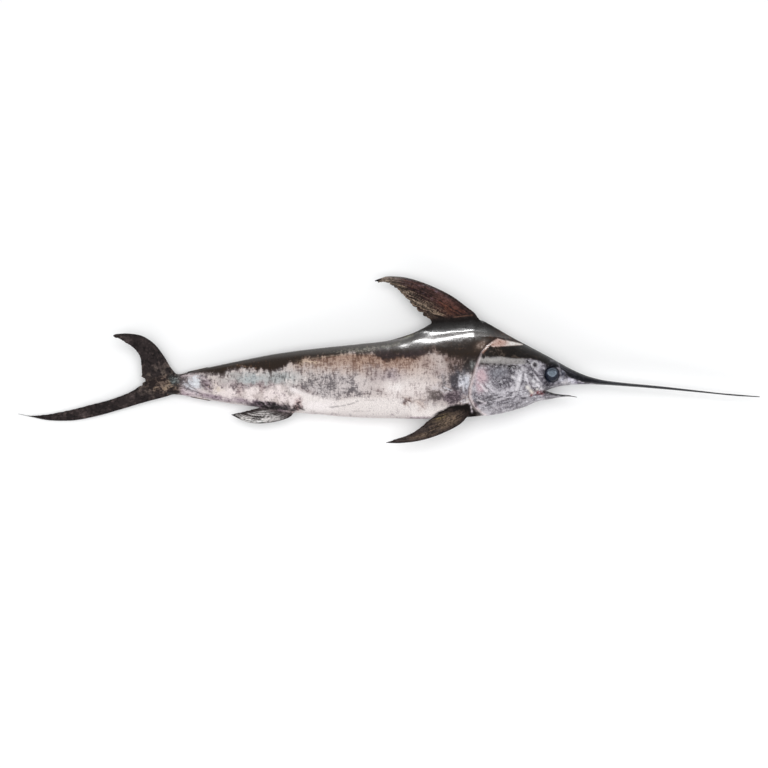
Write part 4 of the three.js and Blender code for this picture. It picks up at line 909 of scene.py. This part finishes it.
d_col.mix("#6b4230", np.clip(blob(px, py, 447, 308.5, 12, 6, 35) + 0.8 * blob(px, py, 461, 311.5, 6, 3), 0, 1) * step(0.4, 0.58, long1 * 0.5 + nz["fine"] * 0.5) * 0.7)
d_col.mix("#1d1513", step(0.5, 0.62, 1 - long1) * 0.55)
aft = step(0.42, 0.72, U) * step(0.12, 0.2, V)
d_col.mix("#a08a76", aft * step(0.54, 0.64, long3 * 0.45 + long1 * 0.55) * 0.85)
d_col.mix("#1f1613", aft * step(0.46, 0.58, 1 - (long3 * 0.4 + long1 * 0.6)) * 0.9)
d_col.mix("#b5a18e", step(0.62, 0.85, U) * bell(V, 0.47, 0.2) * step(0.46, 0.6, long3) * 0.55)
d_col.mix("#9c8d7f", step(0.60, 0.78, V) * (1 - step(0.86, 0.92, V)) * (0.35 + 0.6 * step(0.42, 0.6, long1)))
d_col.mix("#6a5a54", bell(U, 0.02, 0.05) * step(0.3, 0.5, V) * 0.5)
d_col.mix("#1d1a1c", step(0.86, 0.93, V))
d_col.mix("#1c1716", (1 - step(0.10, 0.17, V)) * 0.92)
d_col.mix("#2a211f", (1 - step(0.05, 0.14, U)) * 0.6)
d_col.mix("#7c5b4c", np.exp(-((line_distance(px, py, [(454, 317.2), (463, 316), (473, 315.2)])[0] / 0.5) ** 2)) * 0.7)
a_col = Paint(n, "#332c2c")
open_part = step(0.30, 0.5, V) * step(0.05, 0.18, 1 - U) * (1 - step(0.93, 1.0, V))
lines = step(0.40, 0.57, 0.60 * long1 + 0.25 * long3 + 0.15 * ribs(9, 1.0, 91, 1.2))
a_col.mix("#cdc8c6", lines * step(0.12, 0.3, V) * (1 - step(0.84, 0.95, V)) * (1 - step(0.66, 0.92, U)) * 0.95)
a_col.mix("#e6e2df", step(0.46, 0.60, long1) * bell(U, 0.18, 0.16) * step(0.3, 0.5, V) * (1 - step(0.8, 0.92, V)) * 0.9)
a_col.mix("#231e1f", step(0.58, 0.68, 1 - long3) * 0.5)
a_col.mix("#2b2525", bell(U, 0.0, 0.035) * 0.8 + step(0.88, 0.97, V))
a_col.mix("#6e6464", (1 - step(0.12, 0.26, V)) * step(0.44, 0.6, nz["fine"]) * 0.5)
p_col = Paint(n, "#2b2322")
p_col.mix("#705f50", bell(U, 0.45, 0.26) * step(0.08, 0.3, V) * (1 - step(0.55, 0.95, V)) * (0.25 + 0.7 * step(0.42, 0.6, long1)))
p_col.mix("#82704f", np.clip(blob(px, py, 440, 417.5, 8, 2.2, -28), 0, 1) * step(0.46, 0.62, long3 * 0.5 + long1 * 0.5) * 0.85)
p_col.mix("#171213", step(0.52, 0.66, 1 - long1) * 0.6)
p_col.mix("#544b48", step(0.54, 0.70, long3) * step(0.3, 0.6, V) * 0.5)
p_col.mix("#19120f", (1 - step(0.06, 0.2, V)) * 0.9)
p_col.c, a_col.c = p_col.c * 1.2, np.minimum(a_col.c * 1.15, 0.8)
for name, col in (("tail_up", tail_col), ("tail_low", tail_col), ("dorsal", d_col), ("anal", a_col), ("pectoral_right", p_col), ("pectoral_left", p_col), ("dorsal_second", p_col), ("anal_second", p_col)):
    m = which(name)
    fin.c[m] = col.c[m]
blend_in = step(-3.5, 3.5, db - df) * on_fin
blend_in = np.where(on_fin, step(0.2, 7.0, db), 0)
second = which("dorsal_second") | which("anal_second")
blend_in = np.where(second, step(0.2, 2.0, db), blend_in)
blend_in = np.where(which("pectoral_right") | which("pectoral_left"), 1.0, blend_in)
tails = which("tail_up") | which("tail_low")
blend_in = np.where(tails, step(0.2, 12.0, db), blend_in)
bi = blend_in[:, None]
A.c = A.c * (1 - bi) + fin.c * bi
B.c = B.c * (1 - bi) + fin.c * 0.42 * bi
C = C * (1 - blend_in) + np.where(which("dorsal"), 0.46, 0.36) * blend_in
S = S * (1 - blend_in)
scratchy = scratchy * (1 - blend_in)
# between the two flanks the belly is plain
side = np.abs(P[:, 2] - mz) / half_width(P[:, 0])
keel_line = (1 - step(0.16, 0.62, side + 0.12 * (nz["mid"] - 0.5))) * step(0.0, 6.0, py - (top_line + belly_line) / 2) * ~on_fin * step(182, 200, px)
throat = step(470, 486, px) * (1 - step(566, 590, px))
keel_line *= (1 - step(536, 545, px)) * (1 - step(242, 252, px) * (1 - step(306, 316, px)) * step(398, 402, py))
for paint, plain_one, throat_one in ((A, "#d2c8c6", "#aaa5aa"), (B, "#a3969a", "#6c666c")):
    paint.mix(plain_one, keel_line * (1 - throat)), paint.mix(throat_one, keel_line * throat)
C = C * (1 - keel_line) + (0.30 + 0.16 * throat) * keel_line
# painted shade under the gill cover, round the root of the pectoral fin and on to the flank
fin_root_shade_edge = curve([[428, 417], [436, 412.6], [443, 409.4], [452, 405.8], [463, 404.2], [470, 402.2], [474, 405], [480, 412]])(px)
fin_root_shade = step(-0.8, 1.0, py - fin_root_shade_edge + 2.0 * (nz["fine"] - 0.5)) * step(430, 440, px) * (1 - step(-2.0, 2.0, px - 471 - 0.62 * np.maximum(0, py - 404) + 1.5 * (nz["fine"] - 0.5))) * np.where(on_fin, 1 - step(0.02, 0.16, V), 1 - step(14, 40, df + 12 * (nz["mid"] - 0.5)))
A.mix("#2b211c", fin_root_shade), B.mix("#120d0c", fin_root_shade)
C = C * (1 - fin_root_shade) + 0.85 * fin_root_shade
m_ = np.clip(1.2 * blob(px, py, 471.9, 411.2, 0.9, 1.3) + 1.1 * blob(px, py, 471.2, 407.2, 0.8, 1.5) + 1.0 * blob(px, py, 469.8, 403.4, 0.9, 1.3), 0, 1) * (side > 0.15) * ~on_fin
A.mix("#cfc5ca", m_), B.mix("#a0969b", m_)
C = C * (1 - m_) + 0.2 * m_
loose = ~on_fin * (1 - head) * np.clip(4 * C * (1 - C), 0, 1)
C = C + loose * (0.55 * (nz["mid"] - 0.5) + 0.35 * (nz["big"] - 0.5) + 0.25 * (nz["fine"] - 0.5))
GAIN = 0.90
tone_rgb, mark_rgb = np.clip(A.c * GAIN, 0.002, 0.9), np.clip(B.c * GAIN, 0.002, 0.9)

silver = head * (1 - crown) * step(606, 580, px) * 0.5 + 0.4 * spot(195, 382.6, 6, 6)
silver *= ~on_fin
rough = 0.42 + 0.10 * (nz["fine"] - 0.5) + 0.08 * (nz["grain"] - 0.5)
rough = rough - 0.10 * back * trunk_side + 0.04 * on_fin


def colour_attribute(mesh, name, rgb_values, alpha=None):
    a = mesh.color_attributes.new(name, "FLOAT_COLOR", "POINT")
    out = np.ones((len(rgb_values), 4))
    out[:, :3] = rgb_values
    if alpha is not None:
        out[:, 3] = alpha
    a.data.foreach_set("color", out.astype(np.float32).ravel())


colour_attribute(me, "tone", tone_rgb)
colour_attribute(me, "marks", mark_rgb)
colour_attribute(me, "pattern", np.column_stack([np.clip(C, 0, 1), np.clip(S, 0, 1), np.clip(scratchy, 0, 1)]))
colour_attribute(me, "finish", np.column_stack([np.clip(rough, 0.05, 1), np.clip(silver, 0, 1), np.clip(back * trunk_side * ~on_fin * (0.15 + 0.85 * step(0.6, 3.0, depth)), 0, 1)]))
for poly_smooth in (np.ones(len(me.polygons), bool),):
    me.polygons.foreach_set("use_smooth", poly_smooth)
me.update()

# ------------------------------------------------------------------ atlas for the skin: seen from above and from below, cut into lengths
for layer in list(me.uv_layers):
    me.uv_layers.remove(layer)
uv = me.uv_layers.new(name="OFBake")
loops = np.empty(len(me.loops), int)
me.loops.foreach_get("vertex_index", loops)
normals = np.empty(len(me.polygons) * 3)
me.polygons.foreach_get("normal", normals)
normals = normals.reshape(-1, 3)
centres = np.empty(len(me.polygons) * 3)
me.polygons.foreach_get("center", centres)
centres = centres.reshape(-1, 3) * 1000
totals = np.empty(len(me.polygons), int)
me.polygons.foreach_get("loop_total", totals)
poly_of_loop = np.repeat(np.arange(len(me.polygons)), totals)
cuts = np.array([-1364.5, -690, 0, 690, 1364.5])
strip = np.clip(np.searchsorted(cuts, centres[:, 0]) - 1, 0, 3)
lows = np.array([-230, -245, -308, -150.0])
highs = np.array([100, 310, 170, -30.0])
tall = highs - lows
base = np.concatenate([[0], np.cumsum(tall + 10)])[:4]
width, gutter = 700.0, 8.0
size = max(2 * width + gutter, base[3] + tall[3])
under = normals[:, 2] < 0
xs, ys = P[loops, 0], P[loops, 1]
st = strip[poly_of_loop]
uu = (xs - cuts[st] + 5) + np.where(under[poly_of_loop], width + gutter, 0)
vv = np.clip(ys, lows[st], highs[st]) - lows[st] + base[st]
first = np.cumsum(totals) - totals
under_fin = np.logical_and.reduceat(which("pectoral_left")[loops], first)[poly_of_loop]
uu = np.where(under_fin, (xs - 11.0) * 0.85 + 5 + np.where(under[poly_of_loop], width + gutter, 0), uu)
vv = np.where(under_fin, (ys + 301.0) * 0.85 - 130 - lows[0] + base[0], vv)
uv.data.foreach_set("uv", (np.column_stack([uu, vv]) / size).astype(np.float32).ravel())


# ------------------------------------------------------------------ materials
def material(name):
    m = bpy.data.materials.new(name)
    m.use_nodes = True
    nt = m.node_tree
    nt.nodes.clear()
    out = nt.nodes.new("ShaderNodeOutputMaterial")
    b = nt.nodes.new("ShaderNodeBsdfPrincipled")
    nt.links.new(b.outputs[0], out.inputs[0])
    return m, nt, b


def node(nt, kind, **values):
    nd = nt.nodes.new(kind)
    for k, v in values.items():
        if k.startswith("_"):
            setattr(nd, k[1:], v)
        else:
            nd.inputs[k.replace("_", " ")].default_value = v
    return nd


def noise_node(nt, coords, scale, detail=3.0, stretch=(1, 1, 1), turn=0.0):
    if turn:
        spin = nt.nodes.new("ShaderNodeMapping")
        spin.inputs["Rotation"].default_value = (0, 0, math.radians(turn))
        nt.links.new(coords, spin.inputs["Vector"])
        coords = spin.outputs[0]
    mp = nt.nodes.new("ShaderNodeMapping")
    mp.inputs["Scale"].default_value = stretch
    nt.links.new(coords, mp.inputs["Vector"])
    nd = nt.nodes.new("ShaderNodeTexNoise")
    nd.inputs["Scale"].default_value = scale
    nd.inputs["Detail"].default_value = detail
    nt.links.new(mp.outputs[0], nd.inputs["Vector"])
    return nd.outputs["Fac"]


def maths(nt, op, a, b=None, clamp=False):
    nd = nt.nodes.new("ShaderNodeMath")
    nd.operation = op
    nd.use_clamp = clamp
    for i, s in enumerate((a, b)):
        if s is None:
            continue
        if isinstance(s, (int, float)):
            nd.inputs[i].default_value = s
        else:
            nt.links.new(s, nd.inputs[i])
    return nd.outputs[0]


def ramp(nt, s, a, b, lo=0.0, hi=1.0):
    nd = nt.nodes.new("ShaderNodeMapRange")
    nd.inputs["From Min"].default_value = a
    nd.inputs["From Max"].default_value = b
    nd.inputs["To Min"].default_value = lo
    nd.inputs["To Max"].default_value = hi
    nd.interpolation_type = "SMOOTHSTEP"
    nt.links.new(s, nd.inputs["Value"])
    return nd.outputs[0]


def scaled(nt, colour, factor):
    nd = nt.nodes.new("ShaderNodeVectorMath")
    nd.operation = "SCALE"
    nt.links.new(colour, nd.inputs[0])
    nt.links.new(factor, nd.inputs["Scale"])
    return nd.outputs[0]


skin_mat, nt, b = material("swordfish_skin")
tone = node(nt, "ShaderNodeAttribute", _attribute_name="tone").outputs["Color"]
marks = node(nt, "ShaderNodeAttribute", _attribute_name="marks").outputs["Color"]
split = nt.nodes.new("ShaderNodeSeparateColor")
nt.links.new(node(nt, "ShaderNodeAttribute", _attribute_name="pattern").outputs["Color"], split.inputs[0])
share_s, streaky_s, scratch_s = split.outputs
split = nt.nodes.new("ShaderNodeSeparateColor")
nt.links.new(node(nt, "ShaderNodeAttribute", _attribute_name="finish").outputs["Color"], split.inputs[0])
rough_s, silver_s, back_s = split.outputs
co = nt.nodes.new("ShaderNodeTexCoord").outputs["Object"]


def blended(a_, b_, f_):
    """a_ where f_ is 0, b_ where it is 1, for plain numbers."""
    return maths(nt, "ADD", maths(nt, "MULTIPLY", a_, maths(nt, "SUBTRACT", 1.0, f_)), maths(nt, "MULTIPLY", b_, f_))


def mixed(a_, b_, f_):
    nd = nt.nodes.new("ShaderNodeMix")
    nd.data_type = "RGBA"
    nt.links.new(f_, nd.inputs[0])
    for sock, value in ((nd.inputs[6], a_), (nd.inputs[7], b_)):
        if isinstance(value, tuple):
            sock.default_value = value
        else:
            nt.links.new(value, sock)
    return nd.outputs[2]


n_blotch = noise_node(nt, co, 88, 5)
n_mid = noise_node(nt, co, 165, 5)
n_fine = noise_node(nt, co, 430, 3)
n_speck = noise_node(nt, co, 950, 3)
n_comb = noise_node(nt, co, 1, 5, (125, 36, 52))
n_hair = noise_node(nt, co, 1, 3, (330, 62, 90))
plain = maths(nt, "ADD", maths(nt, "MULTIPLY", n_blotch, 0.55), maths(nt, "MULTIPLY", n_mid, 0.45))
n_long = noise_node(nt, co, 1, 4, (48, 210, 130))
upright = maths(nt, "ADD", maths(nt, "ADD", maths(nt, "MULTIPLY", n_comb, 0.40), maths(nt, "MULTIPLY", n_hair, 0.16)), maths(nt, "ADD", maths(nt, "MULTIPLY", n_mid, 0.20), maths(nt, "MULTIPLY", n_long, 0.24)))
pattern = blended(plain, upright, streaky_s)
level = maths(nt, "ADD", pattern, maths(nt, "MULTIPLY", maths(nt, "SUBTRACT", share_s, 0.5), 0.30))
marked = blended(ramp(nt, level, 0.425, 0.575), ramp(nt, level, 0.38, 0.62), scratch_s)
base = mixed(tone, marks, marked)
# fine pale scratches
web = noise_node(nt, co, 150, 3)
web2 = noise_node(nt, co, 1, 3, (90, 330, 160), 55)
web3 = noise_node(nt, co, 1, 3, (90, 330, 160), -14)
line1 = ramp(nt, maths(nt, "ABSOLUTE", maths(nt, "SUBTRACT", web, 0.5)), 0.0, 0.020, 1.0, 0.0)
line2 = maths(nt, "MAXIMUM", ramp(nt, web2, 0.57, 0.66), ramp(nt, web3, 0.57, 0.66))
gate = ramp(nt, n_blotch, 0.42, 0.60)
lines = maths(nt, "MAXIMUM", maths(nt, "MULTIPLY", line1, gate), maths(nt, "MULTIPLY", line2, maths(nt, "SUBTRACT", 1.0, gate)))
glint = maths(nt, "MULTIPLY", maths(nt, "MULTIPLY", lines, scratch_s), 0.62)
base = mixed(base, (0.80, 0.78, 0.82, 1.0), glint)
fine = ramp(nt, n_fine, 0.34, 0.66, -0.15, 0.15)
speck = ramp(nt, n_speck, 0.38, 0.64, -0.13, 0.15)
factor = maths(nt, "ADD", maths(nt, "ADD", fine, speck), 1.0)
nt.links.new(scaled(nt, base, factor), b.inputs["Base Color"])
nt.links.new(maths(nt, "ADD", rough_s, maths(nt, "MULTIPLY", fine, 0.35)), b.inputs["Roughness"])
nt.links.new(maths(nt, "MULTIPLY", silver_s, 0.5), b.inputs["Metallic"])
b.inputs["IOR"].default_value = 1.33
b.inputs["Specular IOR Level"].default_value = 0.22
nt.links.new(maths(nt, "ADD", maths(nt, "MULTIPLY", back_s, 0.8), 0.08), b.inputs["Coat Weight"])
b.inputs["Coat Roughness"].default_value = 0.2
b.inputs["Coat IOR"].default_value = 1.33
height = maths(nt, "ADD", maths(nt, "ADD", maths(nt, "MULTIPLY", n_fine, 0.4), maths(nt, "MULTIPLY", n_speck, 0.25)), maths(nt, "MULTIPLY", n_hair, 0.8))
bump = nt.nodes.new("ShaderNodeBump")
bump.inputs["Strength"].default_value = 0.4
bump.inputs["Distance"].default_value = 0.0009
nt.links.new(height, bump.inputs["Height"])
nt.links.new(bump.outputs[0], b.inputs["Normal"])
me.materials.clear()
me.materials.append(skin_mat)
me.polygons.foreach_set("material_index", np.zeros(len(me.polygons), np.int32))
flesh = [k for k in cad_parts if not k.startswith("eye_")]
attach(skin, "root")
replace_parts(skin, *flesh)

# ------------------------------------------------------------------ eyes
eye_mat, nt, b = material("swordfish_eye")
tone = node(nt, "ShaderNodeAttribute", _attribute_name="tone")
co = nt.nodes.new("ShaderNodeTexCoord").outputs["Object"]
cloud = ramp(nt, noise_node(nt, co, 160, 4), 0.3, 0.7, 0.82, 1.18)
nt.links.new(scaled(nt, tone.outputs["Color"], cloud), b.inputs["Base Color"])
b.inputs["Roughness"].default_value = 0.16
b.inputs["IOR"].default_value = 1.34
b.inputs["Coat Weight"].default_value = 0.35
b.inputs["Coat IOR"].default_value = 1.34
b.inputs["Coat Roughness"].default_value = 0.06


def eyeball(side, name):
    seg, rings = 96, 64
    th = np.linspace(0, math.pi, rings + 1)[1:-1]
    ph = np.linspace(0, 2 * math.pi, seg, endpoint=False)
    TH, PH = np.meshgrid(th, ph, indexing="ij")
    d = np.stack([np.sin(TH) * np.cos(PH), np.sin(TH) * np.sin(PH), np.cos(TH)], -1).reshape(-1, 3)
    d = np.vstack([d, [0, 0, 1], [0, 0, -1]])
    r = np.hypot(d[:, 0], d[:, 1])
    front = d[:, 2] > 0
    bulge = np.where(front, 1.2 * bell(r, 0, 0.5), 0)
    v = d * EYE_RADIUS
    v[:, 2] = v[:, 2] * EYE_DEPTH_SCALE + bulge
    if side < 0:
        v[:, 2] *= -1
    v = v + np.array([EYE[0], EYE[1], float(middle(EYE[0])) + side * EYE_OUT])
    s, m = len(th), seg
    faces = []
    for i in range(s - 1):
        for j in range(m):
            faces.append([i * m + j, (i + 1) * m + j, (i + 1) * m + (j + 1) % m, i * m + (j + 1) % m])
    north, south = s * m, s * m + 1
    for j in range(m):
        faces.append([north, j, (j + 1) % m])
        faces.append([south, (s - 1) * m + (j + 1) % m, (s - 1) * m + j])
    if side < 0:
        faces = [f[::-1] for f in faces]
    ob = make_mesh(name, v, faces)
    x, y = d[:, 0] * EYE_RADIUS, d[:, 1] * EYE_RADIUS
    wob = noise(np.column_stack([x / 6, y / 6, d[:, 2]]), 1, 60, 2) - 0.5
    cx, cy = -0.4, 3.6
    ang = np.arctan2(y - cy, x - cx)
    pr = np.hypot((x - cx) / (1.30 - 0.34 * step(0, -13, y - cy)), y - cy) + 2.0 * wob
    p = Paint(len(v), "#1a1d28")
    p.mix("#272c3c", step(0.45, 0.65, noise(np.column_stack([x / 3, y / 3, d[:, 2]]), 1, 61, 2)) * 0.6)
    p.mix("#39404d", bell(pr, 15.6, 1.3) * front * 0.5)
    lens = step(14.2, 12.0, pr) * front
    p.mix("#5f6974", lens)
    p.mix("#7f8996", bell(pr, 11.0, 1.5) * front * 0.8)
    p.mix("#55606d", step(8, 3.5, np.hypot(x - cx - 0.6, y - cy - 1.5) + 2 * wob) * front * 0.7)
    p.mix("#74808c", bell(np.hypot(x - cx + 1.0, y - cy + 2.4), 5.0, 1.8) * front * 0.5)
    # a dark crescent and a pale arc over the top of the lens: a painted reflection and a painted highlight
    painted_dark_reflection = np.exp(-(((np.hypot((x - cx - 1.0) / 1.2, y - cy) - 11.4) / 1.9) ** 2)) * step(cy + 5.0, cy + 9.5, y) * front
    p.mix("#232b37", painted_dark_reflection * 0.95)
    painted_highlight_arc = np.exp(-(((np.hypot((x - cx) / 1.15, y - cy) - 16.4) / 1.0) ** 2)) * step(cy + 6, cy + 13, y) * front
    p.mix("#77818f", painted_highlight_arc * 0.75)
    p.mix("#0c0d13", step(23.5, 28, r * EYE_RADIUS) * 0.7)
    colour_attribute(ob.data, "tone", p.c)
    ob.data.polygons.foreach_set("use_smooth", np.ones(len(ob.data.polygons), bool))
    ob.data.materials.append(eye_mat)
    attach(ob, "root")
    return ob


for side, tag in ((1, "right"), (-1, "left")):
    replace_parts(eyeball(side, "eyeball_" + tag), "eye_" + tag)

# ------------------------------------------------------------------ floor, light, camera
floor = make_mesh("floor", np.array([[-9000, -9000, 0], [9000, -9000, 0], [9000, 9000, 0], [-9000, 9000, 0.0]]), [[0, 1, 2, 3]])
floor_mat, nt, b = material("plain_floor")
co = nt.nodes.new("ShaderNodeTexCoord").outputs["Object"]
tint = ramp(nt, noise_node(nt, co, 0.7, 2), 0.3, 0.7, 0.90, 0.93)
comb = nt.nodes.new("ShaderNodeCombineColor")
for i in range(3):
    nt.links.new(tint, comb.inputs[i])
nt.links.new(comb.outputs[0], b.inputs["Base Color"])
b.inputs["Roughness"].default_value = 0.9
b.inputs["Specular IOR Level"].default_value = 0.1
floor.data.materials.append(floor_mat)

world = bpy.data.worlds.new("studio")
scene.world = world
world.use_nodes = True
wn = world.node_tree
bg = wn.nodes["Background"]
bg.inputs[0].default_value = (0.98, 0.99, 1.0, 1)
bg.inputs[1].default_value = 0.56


def area(name, location, target, size, size_y, power, colour=(1, 1, 1)):
    light = bpy.data.lights.new(name, "AREA")
    light.shape, light.size, light.size_y = "RECTANGLE", size, size_y
    light.energy = power
    light.color = colour
    ob = bpy.data.objects.new(name, light)
    scene.collection.objects.link(ob)
    ob.location = location
    d = Vector(target) - Vector(location)
    ob.rotation_euler = d.to_track_quat("-Z", "Y").to_euler()
    return ob


lights = [
    area("softbox_over", (0.0, 0.3, 6.0), (0, 0, 0), 5.5, 4.5, 250),
    area("softbox_low", (-0.2, -3.0, 2.2), (0, -0.1, 0), 4.4, 1.2, 22),
    area("strip_back", (0.19, 0.95, 0.105), (0.19, 0.0, 0.14), 0.50, 0.15, 21.0),
]
lights[0].visible_camera = lights[2].visible_camera = False
lights[2].rotation_euler.rotate_axis("Z", math.radians(4))
lights[0].visible_glossy = lights[1].visible_glossy = False
lights[2].visible_diffuse = False  # gloss on the wet back only
camera_data = bpy.data.cameras.new("camera")
camera = bpy.data.objects.new("camera", camera_data)
scene.collection.objects.link(camera)
camera.location = (CAM_X / 1000, CAM_Y / 1000, CAM_Z / 1000)
camera.rotation_euler = (0, 0, 0)
camera_data.lens, camera_data.sensor_width = LENS, SENSOR
camera_data.clip_start, camera_data.clip_end = 0.1, 60
scene.camera = camera
scene.view_settings.view_transform = "Standard"
scene.view_settings.look = "None"
